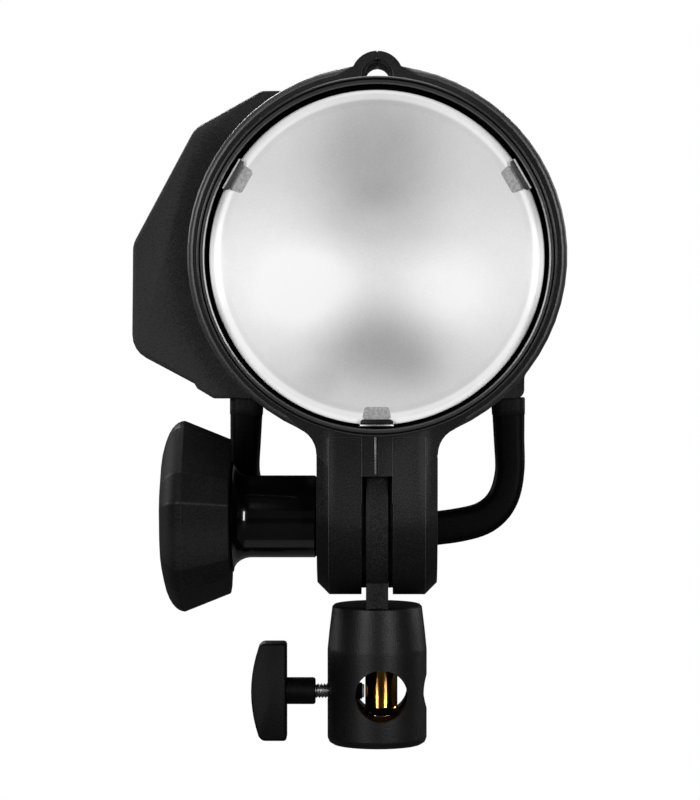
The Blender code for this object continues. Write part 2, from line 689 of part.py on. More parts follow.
def rear_panel():
    """The back of the housing, with openings for everything on it."""
    corners = [(-31.0, BOTTOM_Z, 2), (-31.0, TOP_Z, 2)] + RIGHT_SIDE
    holes = [rectangle(*SCREEN, 1.5), circle(DIAL, 3.3, 16)]
    holes += [circle(FAN, FAN_R + 2.2, 24), circle(SYNC, 4.6, 12)]
    holes += [circle(spot, BUTTON_R + GAP, 12) for spot in BUTTONS]
    holes += [circle(spot, 1.8, 8) for spot in SCREWS]
    loops = [outline(corners, 2)] + holes
    panel = prism("rear_panel", loops, SHELL_END + GAP, PANEL_BACK, FRONT, BLACK_PLASTIC)
    cut(panel, rod("panel_groove_cut", GROOVE_R, (0, 0, UMBRELLA_Z), FRONT, -200, 0, steps=16))
    return panel


def rear_controls():
    low, high = [Vector(corner) for corner in SCREEN]
    inset = Vector((GAP, GAP))
    window = rectangle(low + inset, high - inset, 1.3)
    prism("display_window", [window], SHELL_END + GAP, PANEL_BACK - 0.5, FRONT, SCREEN_LOOK)
    x, z = DIAL
    grip = [
        (0, 181.5), (9.2, 181.5), (10.0, 180.7), (10.4, PANEL_BACK + GAP), (3.0, PANEL_BACK + GAP),
        (3.0, 163.0), (0, 163.0),
    ]
    dial = turned("control_dial", grip, (x, 0, z), BACK, RUBBER, 28)
    pivot("dial_turn", (x, 170, z), dial)
    for number, (bx, bz) in enumerate(BUTTONS, 1):
        r, flange = BUTTON_R, BUTTON_R + 1.2
        cap = [(0, 174.6), (r - 0.5, 174.6), (r, 174.1), (r, 168), (flange, 168), (flange, 165.6), (0, 165.6)]
        button = turned(f"button_{number}", cap, (bx, 0, bz), BACK, RUBBER, 12)
        pivot(f"button_{number}_press", (bx, 170, bz), button)
    sx, sz = SYNC
    socket = [(4.3, 172.3), (4.3, 160.0), (2.0, 160.0), (2.0, 172.3)]
    turned("sync_socket", socket, (sx, 0, sz), BACK, STEEL, 12, ring=True)
    low, high = (sx - 6.5, PANEL_BACK + GAP, sz - 6.5), (sx + 6.5, PANEL_BACK + 2.5, sz + 8)
    cover = block("port_cover", low, high, RUBBER, 0.6)
    pivot("port_cover_hinge", (sx, PANEL_BACK + 1.4, sz + 7.4), cover)
    for number, (px, pz) in enumerate(SCREWS, 1):
        cap_screw(f"panel_screw_{number}", 1.4, 2.7, 1.6, (px, 0, pz), BACK, 160, PANEL_BACK + 1.9)


def fan():
    """The cooling fan behind its grille."""
    x, z = FAN
    half = 20.5
    loops = [rectangle((x - half, z - half), (x + half, z + half), 3, 2), circle(FAN, FAN_R + 1, 24)]
    frame = prism("fan_frame", loops, 153, 166, FRONT, BLACK_PLASTIC)
    spokes = [block(f"spoke_add_{k}", (-19.5, 153.5, -1.2), (19.5, 155.2, 1.2)) for k in range(3)]
    for k, spoke in enumerate(spokes):
        spoke.location = [v * MM for v in (x, 154.35, z)]
        spoke.rotation_euler = (0, radians(60 * k + 15), 0)
    motor = rod("motor_add", 7.0, (x, 0, z), BACK, 153.4, 155.6, steps=16)
    pin = rod("pin_add", 1.2, (x, 0, z), BACK, 154, 163, steps=12)
    join(frame, *spokes, motor, pin)
    blades = []
    count = 7
    for k in range(count):
        start = 360 * k / count
        blades += arc(FAN, 8.0, start, start + 14, 2)
        blades += arc(FAN, FAN_R, start + 22, start + 47, 4)
        blades += arc(FAN, 8.0, start + 38, start + 44, 1)
    blades = [(u - x, v - z) for u, v in blades]
    rotor = prism("fan_rotor", [blades, circle((0, 0), 1.6, 12)], 156.4, 164.5, FRONT, BLACK_PLASTIC)
    rotor.location = [v * MM for v in (x, 160.45, z)]
    pivot("fan_spin", (x, 160, z), rotor)
    slots = []
    for k in range(-4, 5):
        height = z + 3.6 * k
        reach = sqrt(17.0**2 - (3.6 * k) ** 2)
        slots.append(rectangle((x - reach, height - 1.1), (x + reach, height + 1.1)))
    loops = [circle(FAN, FAN_R + 1.9, 24)] + slots
    prism("vent_grille", loops, SHELL_END + GAP + 0.4, PANEL_BACK - 0.6, FRONT, BLACK_PLASTIC)


def battery():
    """The battery pack, which slides out to the back along the dock's rail."""
    corners = [(-31.9, 117.1, 1), (-55.4, 117.1), (-61.0, 120.2), *LEFT_SIDE[::-1], (-31.9, TOP_Z, 1)]
    pack = prism("battery_case", [outline(corners)], COVER_BACK + GAP, PANEL_BACK, FRONT, BLACK_PLASTIC)
    groove = block("rail_cut", (-36.7, 40, 161.5), (-28, 151, 172.5))
    pocket = block("contact_cut", (-35.8, 40, 147.5), (-28, 76.6, 158.5))
    button_way = block("latch_cut", (-64.4, 163.0, 183.6), (-51.6, 190, 192.4))
    cut(pack, groove, pocket, button_way)
    latch = block("battery_latch", (-64.0, 165.6, 184), (-52.0, 173.8, 192), RUBBER, 0.8)
    pivot("battery_slide", (-58, 110, 165), pack)
    pivot("battery_latch_press", (-58, 170, 188), latch)


# ---------------------------------------------------------------- assembly

stand_adapter()
brass_spigot()
clamp()
collar("collar_left", -1)
collar("collar_right", 1)
for spot, y in (("front", -20.0), ("rear", 20.0)):
    cap_screw(f"yoke_screw_{spot}", 1.5, 2.8, 2.6, (0, y, 99.5), (0, pi / 2, 0), -16, 19.6)
tilt_lock()
front_end()
lamp()
front_cover()
shells()
handle()
inside()
rear_panel()
rear_controls()
fan()
battery()
rest_pieces = [piece for piece in parts.objects if piece.type == "MESH" and not piece.parent]
stand_pieces = {"stand_adapter", "brass_spigot"}
pivot("head_tilt", (0, 0, TILT_Z), *[piece for piece in rest_pieces if piece.name not in stand_pieces])
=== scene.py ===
"""Looks of the battery monolight strobe: finished meshes and procedural materials on the CAD frame."""

import json
from math import atan2, cos, pi, radians, sin, sqrt, tan

import bmesh
import bpy
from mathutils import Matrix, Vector


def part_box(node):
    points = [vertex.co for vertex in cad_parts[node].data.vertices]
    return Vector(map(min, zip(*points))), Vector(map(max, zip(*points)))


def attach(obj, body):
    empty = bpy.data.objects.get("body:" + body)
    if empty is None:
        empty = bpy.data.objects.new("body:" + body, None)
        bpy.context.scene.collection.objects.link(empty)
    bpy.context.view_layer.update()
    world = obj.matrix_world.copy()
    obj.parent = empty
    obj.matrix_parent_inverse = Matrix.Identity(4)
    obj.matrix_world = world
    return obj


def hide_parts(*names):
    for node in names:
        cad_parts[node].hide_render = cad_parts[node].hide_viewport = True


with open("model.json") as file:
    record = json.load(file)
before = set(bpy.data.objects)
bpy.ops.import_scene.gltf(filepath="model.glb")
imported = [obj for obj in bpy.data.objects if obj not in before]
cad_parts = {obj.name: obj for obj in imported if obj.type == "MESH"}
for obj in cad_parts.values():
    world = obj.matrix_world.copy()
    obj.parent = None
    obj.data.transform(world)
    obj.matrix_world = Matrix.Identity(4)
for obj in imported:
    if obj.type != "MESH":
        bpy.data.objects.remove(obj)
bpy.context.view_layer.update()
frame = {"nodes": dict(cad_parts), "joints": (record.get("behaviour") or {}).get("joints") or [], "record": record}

MM = 0.001
WHITE = (1, 1, 1, 1)
# the reach of a patch of colour along an axis that it leaves out
ANY = 1e6

record = frame["record"]
nodes = frame["nodes"]
joints = {joint["name"]: joint for joint in frame["joints"]}
body_of_node = {node: body for body, group in record["behaviour"]["bodies"].items() for node in group}
slot_of_node = {part["node"]: part["material_slot"] for part in record["subparts"]}

# axes of the object, in millimetres
TILT_Z = joints["head_tilt"]["pos_m"][2] / MM
CLAMP_Z = joints["clamp_turn"]["pos_m"][2] / MM
tube_low, tube_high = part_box("head_tube")
HEAD_Z = (tube_low.z + tube_high.z) / 2 / MM


def box_mm(node):
    low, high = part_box(node)
    return low / MM, high / MM


# ---------------------------------------------------------------- materials


class Nodes:
    """Builds one material's node tree."""

    def __init__(self, name, colour, roughness, metallic=0.0):
        self.material = bpy.data.materials.new(name)
        self.material.use_nodes = True
        self.material.diffuse_color = (*colour, 1)
        self.tree = self.material.node_tree
        self.shader = self.tree.nodes["Principled BSDF"]
        self.set("Base Color", (*colour, 1))
        self.set("Roughness", roughness)
        self.set("Metallic", metallic)
        self.place = self.add("TexCoord").outputs["Object"]

    def set(self, socket, value):
        self.shader.inputs[socket].default_value = value

    def link(self, source, target):
        self.tree.links.new(source, target)

    def add(self, kind, **values):
        made = self.tree.nodes.new("ShaderNode" + kind)
        for socket, value in values.items():
            made.inputs[socket].default_value = value
        return made

    def stretch(self, scale, location=(0, 0, 0)):
        """The object's own coordinates, scaled and then moved."""
        mapping = self.add("Mapping", Scale=scale, Location=location)
        self.link(self.place, mapping.inputs["Vector"])
        return mapping.outputs["Vector"]

    def noise(self, size, detail=2.0, rough=0.5, place=None):
        """Noise whose features are about this many millimetres across."""
        made = self.add("TexNoise", Scale=1 / (size * MM), Detail=detail, Roughness=rough)
        self.link(place or self.place, made.inputs["Vector"])
        return made.outputs["Fac"]

    def cells(self, size):
        """Cells about this many millimetres across."""
        made = self.add("TexVoronoi", Scale=1 / (size * MM))
        self.link(self.place, made.inputs["Vector"])
        return made.outputs["Distance"]

    def glow(self, centre, reach, gain):
        """A soft elliptical patch round a point, with its reach along each axis in millimetres."""
        scale = [1 / (r * MM) for r in reach]
        place = self.stretch(scale, [-c / r for c, r in zip(centre, reach)])
        length = self.add("VectorMath")
        length.operation = "LENGTH"
        self.link(place, length.inputs[0])
        fade = self.span(length.outputs["Value"], 0, 1, gain, 0)
        fade.interpolation_type = "SMOOTHERSTEP"
        return fade.outputs["Result"]

    def ring(self, start, end, gain):
        """A step up between two radii from the head's axis, in millimetres."""
        away = self.glow((0, 0, HEAD_Z), (1, ANY, 1), 1)
        self.set_span(away.node, start, end, 0, gain)
        return away

    def set_span(self, fade, *limits):
        for socket, value in zip(("From Min", "From Max", "To Min", "To Max"), limits):
            fade.inputs[socket].default_value = value

    def span(self, source, start, end, low, high):
        """A node that maps a source between start and end to a value between low and high."""
        made = self.add("MapRange")
        self.set_span(made, start, end, low, high)
        self.link(source, made.inputs["Value"])
        return made

    def remap(self, source, low, high):
        """Noise, which mostly lies between 0.3 and 0.7, brought between low and high."""
        return self.span(source, 0.3, 0.7, low, high).outputs["Result"]

    def math(self, operation, first, second):
        made = self.add("Math")
        made.operation = operation
        for socket, value in zip(made.inputs, (first, second)):
            if isinstance(value, (int, float)):
                socket.default_value = value
            else:
                self.link(value, socket)
        return made.outputs[0]

    def blend(self, first, share, second):
        """A share of the first value and the rest of the second."""
        return self.math("ADD", self.math("MULTIPLY", first, share), self.math("MULTIPLY", second, 1 - share))

    def colours(self, source, stops):
        """Base colour from (position, colour) stops."""
        made = self.add("ValToRGB")
        ramp = made.color_ramp
        while len(ramp.elements) < len(stops):
            ramp.elements.new(0.5)
        for element, (position, colour) in zip(ramp.elements, stops):
            element.position = position
            element.color = (*colour, 1)
        self.link(source, made.inputs["Fac"])
        self.link(made.outputs["Color"], self.shader.inputs["Base Color"])

    def roughness(self, source, low, high):
        self.link(self.remap(source, low, high), self.shader.inputs["Roughness"])

    def bump(self, height, depth):
        """Adds relief of this many millimetres."""
        made = self.add("Bump", Distance=depth * MM, Strength=1.0)
        self.link(height, made.inputs["Height"])
        self.link(made.outputs["Normal"], self.shader.inputs["Normal"])


def grey(level):
    return (level, level, level)


def grained(name, colour, rough, grain, depth, lift=1.35, shine=0.3, painted_shade_ring=None, patches=(), calm=1.0):
    """A coating or moulding with a fine pebbled grain, faint mottling and patches of painted light and shade.

    The grain and its depth are in millimetres. The mottling makes the colour up to lift times lighter or
    darker. calm shrinks it, and a ring of painted shade (painted_shade_ring) and glows of painted light
    and shade (patches) push it one way.
    """
    look = Nodes(name, colour, rough)
    pebbles = look.noise(grain, 2.0, 0.5)
    clouds = look.noise(38, 4.0, 0.6)
    specks = look.noise(grain * 0.8, 2.0, 0.6)
    mix = look.blend(clouds, 0.25, specks)
    mix = look.math("ADD", look.math("MULTIPLY", mix, calm), 0.5 - 0.5 * calm)
    if painted_shade_ring:
        mix = look.math("ADD", mix, look.ring(*painted_shade_ring))
    for patch in patches:
        mix = look.math("ADD", mix, look.glow(*patch))
    dark = [c / lift for c in colour]
    light = [c * lift for c in colour]
    look.colours(mix, [(0.4, dark), (0.5, colour), (0.6, light)])
    look.roughness(look.blend(clouds, 0.7, specks), rough - 0.07, rough + 0.09)
    look.bump(pebbles, depth)
    look.set("Specular IOR Level", shine)
    return look


def brushed(name, colour, rough, stretch, depth):
    """Bare metal with turning or brushing lines along one direction and small stains."""
    look = Nodes(name, colour, rough, metallic=1.0)
    lines = look.noise(0.25, 3.0, 0.6, look.stretch(stretch))
    stains = look.noise(9, 4.0, 0.6)
    dull = [c * 0.78 for c in colour]
    bright = [min(1, c * 1.1) for c in colour]
    look.colours(stains, [(0.3, dull), (0.55, colour), (0.8, bright)])
    look.roughness(look.blend(lines, 0.5, stains), rough - 0.08, rough + 0.1)
    look.bump(lines, depth)
    return look


# patches of painted light and shade are (centre, reach, how much lighter)

# painted highlights on the cheeks of the collar near their edges, and painted shade at their lower ends
CHEEK_PAINTED_HIGHLIGHTS = [
    ((15.6, -26, 98), (3.4, 12, 32), 0.08),
    ((9, -27, 96), (13, 12, 32), 0.055),
    ((-15.6, -26, 98), (3.2, 12, 32), 0.06),
]
CHEEK_SHADE = (84.5, 92.5, -0.052)

# painted highlights on the rim's edges and grooves at its sides, and painted shade at its top and bottom
RIM_TOP_SHADE = ((0, 0, HEAD_Z + 56), (ANY, ANY, 46), -0.14)
RIM_PAINTED_LIGHT_AND_SHADE = [
    ((-54, 0, HEAD_Z - 8), (30, ANY, 44), 0.15),
    ((54, 0, HEAD_Z - 8), (30, ANY, 44), 0.09),
    RIM_TOP_SHADE,
    ((0, 0, HEAD_Z - 56), (ANY, ANY, 28), -0.17),
]
RIM_SHADES = [RIM_TOP_SHADE, ((0, 0, HEAD_Z - 56), (ANY, ANY, 42), -0.12)]

# bands of painted highlight and painted shade across the tilt knob
KNOB_PAINTED_LIGHT_AND_SHADE = [((0, 0, TILT_Z - 7), (ANY, ANY, 9), 0.075), ((0, 0, TILT_Z + 4.5), (ANY, ANY, 8), -0.04)]

# a painted highlight across the middle of the clamp knob's wing
WING_PAINTED_HIGHLIGHT = [((-40, 0, CLAMP_Z), (ANY, ANY, 21), 0.13)]

# painted shade on the cover round the collar: the cover is lighter towards its corners, away from the head's axis
COVER_PAINTED_SHADE_RING = (67, 76, 0.1)


def cast_looks():
    """The painted castings, whose edges and narrow bands take lighter looks as painted highlights."""
    black = grey(0.0092)
    return {
        "cast": grained("cast_black", black, 0.52, 0.5, 0.1, 2.4, 0.1),
        "cheek_cast": grained(
            "cheek_black", black, 0.52, 0.5, 0.1, 4.0, 0.1, CHEEK_SHADE, CHEEK_PAINTED_HIGHLIGHTS, 0.5
        ),
        "barrel_cast": grained("barrel_black", grey(0.0032), 0.43, 0.5, 0.09, 2.0, 0.19),
        "cast_painted_edge_highlight": grained("cast_black_painted_edge_highlight", grey(0.045), 0.32, 0.5, 0.02, 1.7, 0.8),
        "cast_painted_band_highlight": grained("cast_black_painted_band_highlight", grey(0.026), 0.4, 0.5, 0.05, 2.0, 0.5),
        "rim_painted_edge_highlight": grained("cast_painted_rim_highlight", grey(0.2), 0.28, 0.5, 0.01, 3.4, 1.0, None, RIM_PAINTED_LIGHT_AND_SHADE, 0.3),
        "rim_band": grained("cast_rim_front_painted_light", grey(0.026), 0.4, 0.5, 0.05, 3.0, 0.4, None, RIM_SHADES, 0.5),
        "lip_edge": grained("cast_painted_split_highlight", grey(0.12), 0.28, 0.5, 0.01, 1.5, 1.0),
        # darker than the casting: painted shade in the rim's bore and grooves and on the dish's flange round the
        # glass, and the dark of joints, seams and seals
        "cast_bore": grained("cast_black_bore", grey(0.0012), 0.7, 0.6, 0.03, 1.5, 0.03),
    }


def plastic_looks():
    return {
        "plastic": grained("plastic_black", grey(0.0185), 0.55, 0.45, 0.1, 1.9, 0.16),
        "cover_plastic": grained("cover_black", grey(0.021), 0.55, 0.4, 0.08, 2.0, 0.16, painted_shade_ring=COVER_PAINTED_SHADE_RING),
        "plastic_edge": grained("plastic_black_edge", grey(0.013), 0.48, 0.5, 0.03, 1.8, 0.2),
        "knob_plastic": grained("knob_black", grey(0.0054), 0.5, 0.5, 0.08, 2.3, 0.1, patches=KNOB_PAINTED_LIGHT_AND_SHADE),
        "knob_painted_edge_highlight": grained("knob_black_painted_edge_highlight", grey(0.0068), 0.44, 0.55, 0.03, 2.0, 0.16),
        "wing_plastic": grained("wing_black", grey(0.0026), 0.5, 0.5, 0.08, 2.5, 0.08, patches=WING_PAINTED_HIGHLIGHT),
        "rubber": grained("rubber_black", grey(0.0018), 0.5, 0.8, 0.03, 1.8, 0.06),
    }


def metal_looks():
    """Bare and blackened metal. Brushed lines run along the axes whose scale is smallest."""
    return {
        "pad_steel": grained("pad_grey", grey(0.2), 0.35, 0.5, 0.01, 1.3, 0.8),
        "clip_painted_web_highlight": grained("clip_web_painted_highlight", grey(0.8), 0.4, 0.5, 0.005, 1.15),
        "clip_lip": grained("clip_lip_painted_light", grey(0.03), 0.4, 0.35, 0.02, 2.2, 0.4),
        "clip_tab": grained("clip_through_frost", grey(0.31), 0.55, 0.8, 0.01, 1.25),
        "black_steel": grained("black_steel", grey(0.003), 0.42, 1.2, 0.006, 1.8, 0.15),
        "steel": brushed("bright_steel", (0.3, 0.3, 0.305), 0.3, (0.15, 1, 1), 0.006),
        "clip_metal": brushed("clip_spring_metal", grey(0.72), 0.3, (1, 0.2, 1), 0.006),
        "bare_aluminium": brushed("spun_aluminium", (0.88, 0.88, 0.89), 0.28, (1, 1, 0.2), 0.008),
        "brass": brushed("turned_brass", (0.62, 0.31, 0.065), 0.1, (0.2, 0.2, 2.5), 0.015),
    }


def other_looks():
    return {
        "sleeve_gloss": gloss_lacquer(),
        "frosted_glass": frosted_glass(),
        "quartz": quartz(),
        "ceramic": grained("white_ceramic", (0.8, 0.79, 0.75), 0.45, 1.4, 0.01, 1.04),
        "board": grained("solder_mask", (0.015, 0.12, 0.05), 0.35, 2.2, 0.02, 1.3),
        "screen": screen_glass(),
    }


def gloss_lacquer():
    """A black lacquer that is nearly all coat, with a faint orange peel."""
    look = Nodes("gloss_lacquer", grey(0.002), 0.16)
    haze = look.noise(22, 4.0, 0.6)
    peel = look.noise(1.6, 2.0, 0.5)
    look.colours(haze, [(0.35, grey(0.0005)), (0.65, grey(0.0014))])
    look.roughness(haze, 0.2, 0.3)
    look.bump(peel, 0.01)
    look.set("Specular IOR Level", 0.04)
    look.set("Coat Weight", 1.0)
    look.set("Coat Roughness", 0.1)
    return look


# painted light and shade for how the dish, ring tube and lamp show through the frost, as
# (x, z from the head's axis, half width, half height, how much lighter)
FROST_PAINTED_LIGHT_AND_SHADE = [
    (-34, -8, 34, 40, 0.25),  # the dish's bright left and right flanks
    (-19, -9, 27, 23, 0.23),
    (35, -8, 37, 40, 0.18),
    (20, -10, 26, 22, 0.175),
    (0, -4, 26, 14, 0.08),
    (0, 19, 14, 9, -0.06),
    (0, 31, 34, 38, -0.265),  # the shade of the ring tube, above and below the lamp
    (2, -28, 31, 20, -0.285),
    (-18, -38, 11, 9, -0.09),
    (13, -35, 12, 10, -0.06),
]
# painted light and shade round the dish's mouth, and painted light on the ground rim of the glass: (start, end,
# how much lighter from there out)
FROST_PAINTED_RINGS = [(47.0, 48.3, 0.25), (49.0, 50.5, 0.3), (45.4, 46.4, -0.03)]


def frosted_glass():
    """White frosted glass: fine etched grain, painted light and shade for its ground rim and for the dish, ring
    tube and lamp behind it, and a painted glow at its left and right edges.
    """
    look = Nodes("frosted_glass", grey(0.9), 0.45)
    frost = look.noise(0.45, 3.0, 0.7)
    clouds = look.noise(7, 3.0, 0.6)
    total = look.remap(frost, 0.652, 0.722)
    total = look.math("ADD", total, look.remap(clouds, -0.012, 0.012))
    for x, z, wide, tall, gain in FROST_PAINTED_LIGHT_AND_SHADE:
        total = look.math("ADD", total, look.glow((x, 0, HEAD_Z + z), (wide, ANY, tall), gain))
    for ring in FROST_PAINTED_RINGS:
        total = look.math("ADD", total, look.ring(*ring))
    look.colours(total, [(0.0, grey(0.0)), (1.0, grey(1.0))])
    look.roughness(clouds, 0.4, 0.52)
    look.bump(frost, 0.02)
    # a painted glow: the glass emits light at its left and right edges
    edges = [look.glow((side * 52, 0, HEAD_Z - 6), (8, ANY, 38), 0.36) for side in (-1, 1)]
    look.link(look.math("ADD", *edges), look.shader.inputs["Emission Strength"])
    look.set("Emission Color", WHITE)
    look.set("Transmission Weight", 0.12)
    look.set("IOR", 1.5)
    return look


def quartz():
    """Clear quartz with faint waves."""
    look = Nodes("quartz_tube", (0.97, 0.97, 0.98), 0.08)
    waves = look.noise(3, 2.0, 0.5)
    look.colours(waves, [(0.3, (0.92, 0.93, 0.95)), (0.7, (0.99, 0.99, 0.99))])
    look.roughness(waves, 0.04, 0.14)
    look.bump(waves, 0.01)
    look.set("Transmission Weight", 0.8)
    return look


def screen_glass():
    """A dark display under glass: a fine grid of cells, and smears on top."""
    look = Nodes("screen_glass", (0.008, 0.01, 0.012), 0.08)
    smears = look.noise(11, 4.0, 0.65)
    grid = look.cells(0.35)
    look.colours(grid, [(0.1, (0.006, 0.008, 0.01)), (0.6, (0.012, 0.015, 0.018))])
    look.roughness(smears, 0.05, 0.16)
    look.bump(smears, 0.004)
    look.set("Coat Weight", 0.5)
    look.set("Coat Roughness", 0.04)
    return look


LOOKS = {
    name: look.material
    for looks in (cast_looks(), plastic_looks(), metal_looks(), other_looks())
    for name, look in looks.items()
}


# ---------------------------------------------------------------- mesh tools


def settle(piece, body, slot, *replaced):
    """A finished piece joins the frame."""
    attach(piece, body)
    if replaced:
        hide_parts(*replaced)
    return piece


def new_object(name, data):
    made = bpy.data.objects.new(name, data)
    bpy.context.scene.collection.objects.link(made)
    return made


def new_piece(name, mesh, looks, angle=32):
    made = new_object(name, mesh)
    index = [face.material_index for face in mesh.polygons]
    mesh.materials.clear()
    for look in looks:
        mesh.materials.append(LOOKS[look])
    mesh.polygons.foreach_set("material_index", index)
    mesh.shade_smooth()
    mesh.set_sharp_from_angle(angle=radians(angle))
    return made


def welded_copy(node, soften=None):
    """The CAD solid with its flat faces whole again.

    soften may pick edges to round, as a test of a point and a width, both in millimetres.
    """
    mesh = nodes[node].data.copy()
    shape = bmesh.new()
    shape.from_mesh(mesh)
    bmesh.ops.remove_doubles(shape, verts=shape.verts, dist=2e-6)
    bmesh.ops.dissolve_limit(shape, angle_limit=radians(0.6), verts=shape.verts, edges=shape.edges)
    if soften:
        picked, width = soften
        edges = [edge for edge in shape.edges if all(picked(vert.co / MM) for vert in edge.verts)]
        bmesh.ops.bevel(
            shape, geom=edges, offset=width * MM, segments=5, profile=0.5, affect="EDGES",
            clamp_overlap=False, material=2,
        )
    for edge in shape.edges:
        edge.smooth = True
    shape.to_mesh(mesh)
    shape.free()
    return mesh


def refine(node, width, segments=2, angle=32, edge_look=None, soften=None, look=None, band=None):
    """A detailed stand-in for a CAD node: the same faces with rounded edges, which may take their own look:
    painted highlights on the castings, darker on the plastics.
    """
    slot = slot_of_node[node]
    looks = [look or slot] + [extra for extra in (edge_look, band) if extra]
    piece = new_piece(node + "_skin", welded_copy(node, soften), looks, angle)
    if width:
        bevel = piece.modifiers.new("edges", "BEVEL")
        bevel.width = width * MM
        bevel.segments = segments
        bevel.limit_method = "ANGLE"
        bevel.angle_limit = radians(angle)
        bevel.harden_normals = True
        bevel.use_clamp_overlap = True
        bevel.miter_outer = "MITER_ARC"
        if edge_look:
            bevel.material = 1
    return settle(piece, body_of_node[node], slot, node)


def rounded(profile, radius, steps=3, closed=False):
    """A polyline with each corner replaced by a small arc; a point may carry its own radius."""
    points = []
    count = len(profile)
    for i, point in enumerate(profile):
        here = Vector(point[:2])
        wanted = point[2] if len(point) > 2 else radius
        if not closed and i in (0, count - 1):
            points.append(tuple(here))
            continue
        before = Vector(profile[i - 1][:2]) - here
        after = Vector(profile[(i + 1) % count][:2]) - here
        room = min(before.length, after.length) * 0.45
        before.normalize()
        after.normalize()
        half = before.angle(after, pi) / 2
        if wanted <= 0 or half > radians(88) or half < radians(3):
            points.append(tuple(here))
            continue
        reach = min(wanted / tan(half), room)
        small = reach * tan(half)
        centre = here + (before + after).normalized() * (small / sin(half))
        first = here + before * reach - centre
        last = here + after * reach - centre
        turn = atan2(first.x * last.y - first.y * last.x, first.dot(last))
        start = atan2(first.y, first.x)
        for k in range(steps + 1):
            a = start + turn * k / steps
            points.append((centre.x + small * cos(a), centre.y + small * sin(a)))
    return points


AXES = {
    "front": (Vector((1, 0, 0)), Vector((0, 0, 1)), Vector((0, -1, 0))),
    "back": (Vector((1, 0, 0)), Vector((0, 0, 1)), Vector((0, 1, 0))),
    "left": (Vector((0, 1, 0)), Vector((0, 0, 1)), Vector((-1, 0, 0))),
    "up": (Vector((1, 0, 0)), Vector((0, 1, 0)), Vector((0, 0, 1))),
}


def grid_surface(rows, wrap_rows=False):
    """A bmesh from rows of points; each row closes on itself."""
    shape = bmesh.new()
    made = [[shape.verts.new(p) for p in row] for row in rows]
    pairs = list(zip(made, made[1:] + made[:1])) if wrap_rows else list(zip(made, made[1:]))
    for lower, upper in pairs:
        for i in range(len(lower)):
            j = (i + 1) % len(lower)
            shape.faces.new((lower[i], lower[j], upper[j], upper[i]))
    if not wrap_rows:
        shape.faces.new(made[0][::-1])
        shape.faces.new(made[-1])
    bmesh.ops.remove_doubles(shape, verts=shape.verts, dist=1e-7)
    bmesh.ops.recalc_face_normals(shape, faces=shape.faces)
    return shape


def as_mesh(name, shape):
    mesh = bpy.data.meshes.new(name)
    shape.to_mesh(mesh)
    shape.free()
    return mesh


def lathe(name, profile, centre, facing, looks, steps=128, ring=False, radius_at=None, angle=32):
    """A turned piece from (radius, height) in millimetres. radius_at may vary the radius round the turn."""
    across, up, along = AXES[facing]
    centre = Vector(centre)
    rows = []
    for r, h in profile:
        row = []
        for k in range(steps):
            a = 2 * pi * k / steps
            reach = radius_at(r, h, a) if radius_at else r
            row.append((centre + across * (reach * cos(a)) + up * (reach * sin(a)) + along * h) * MM)
        rows.append(row)
    shape = grid_surface(rows, ring)
    return new_piece(name, as_mesh(name, shape), looks, angle)


def swept_bar(name, path, section, sizes, looks):
    """A bar along a smooth path in X and Z. The section is (across, depth) and has a size for each point."""
    rows = []
    for i, (point, size) in enumerate(zip(path, sizes)):
        before, after = path[max(i - 1, 0)], path[min(i + 1, len(path) - 1)]
        along = (Vector(after) - Vector(before)).normalized()
        side = along.cross(Vector((0, 1, 0))).normalized()
        rows.append([(Vector(point) + (side * u + Vector((0, 1, 0)) * v) * size) * MM for u, v in section])
    return new_piece(name, as_mesh(name, grid_surface(rows)), looks, angle=40)


def tube(name, path, radius, looks, sides=16):
    """A round tube along a path of points, its frame carried along without twist."""
    rows = []
    across = None
    for i, point in enumerate(path):
        before, after = path[max(i - 1, 0)], path[min(i + 1, len(path) - 1)]
        along = (Vector(after) - Vector(before)).normalized()
        guess = across if across else along.orthogonal()
        across = (guess - along * guess.dot(along)).normalized()
        other = along.cross(across)
        angles = [2 * pi * k / sides for k in range(sides)]
        rows.append([(Vector(point) + (across * cos(a) + other * sin(a)) * radius) * MM for a in angles])
    return new_piece(name, as_mesh(name, grid_surface(rows)), looks)


def smooth_path(points, steps):
    """A Catmull-Rom curve through the points."""
    ends = [points[0], *points, points[-1]]
    path = []
    for i in range(1, len(ends) - 2):
        p0, p1, p2, p3 = (Vector(p) for p in ends[i - 1 : i + 3])
        for k in range(steps):
            t = k / steps
            bend = 2 * p0 - 5 * p1 + 4 * p2 - p3
            path.append(0.5 * (2 * p1 + (p2 - p0) * t + bend * t**2 + (3 * p1 - p0 - 3 * p2 + p3) * t**3))
    return path + [Vector(points[-1])]


def slab(name, low, high, looks, edge=0.4, segments=3):
    """A small block with rounded edges."""
    shape = bmesh.new()
    bmesh.ops.create_cube(shape, size=MM)
    size = Vector(high) - Vector(low)
    middle = (Vector(high) + Vector(low)) / 2
    bmesh.ops.scale(shape, vec=size, verts=shape.verts)
    bmesh.ops.translate(shape, vec=middle * MM, verts=shape.verts)
    bmesh.ops.bevel(
        shape, geom=shape.edges[:], offset=edge * MM, segments=segments, profile=0.5, affect="EDGES"
    )
    return new_piece(name, as_mesh(name, shape), looks)


def outset(outline, amount):
    """A closed outline moved outwards, or inwards if the amount is negative."""
    points = [Vector(p) for p in outline]
    turn = sum(a.x * b.y - a.y * b.x for a, b in zip(points, points[1:] + points[:1]))
    moved = []
    for i, here in enumerate(points):
        before = (here - points[i - 1]).normalized()
        after = (points[(i + 1) % len(points)] - here).normalized()
        normal = Vector((before.y + after.y, -before.x - after.x)).normalized() * (1 if turn > 0 else -1)
        reach = abs(normal.dot(Vector((before.y, -before.x))))
        moved.append(here + normal * amount / max(reach, 0.5))
    return moved


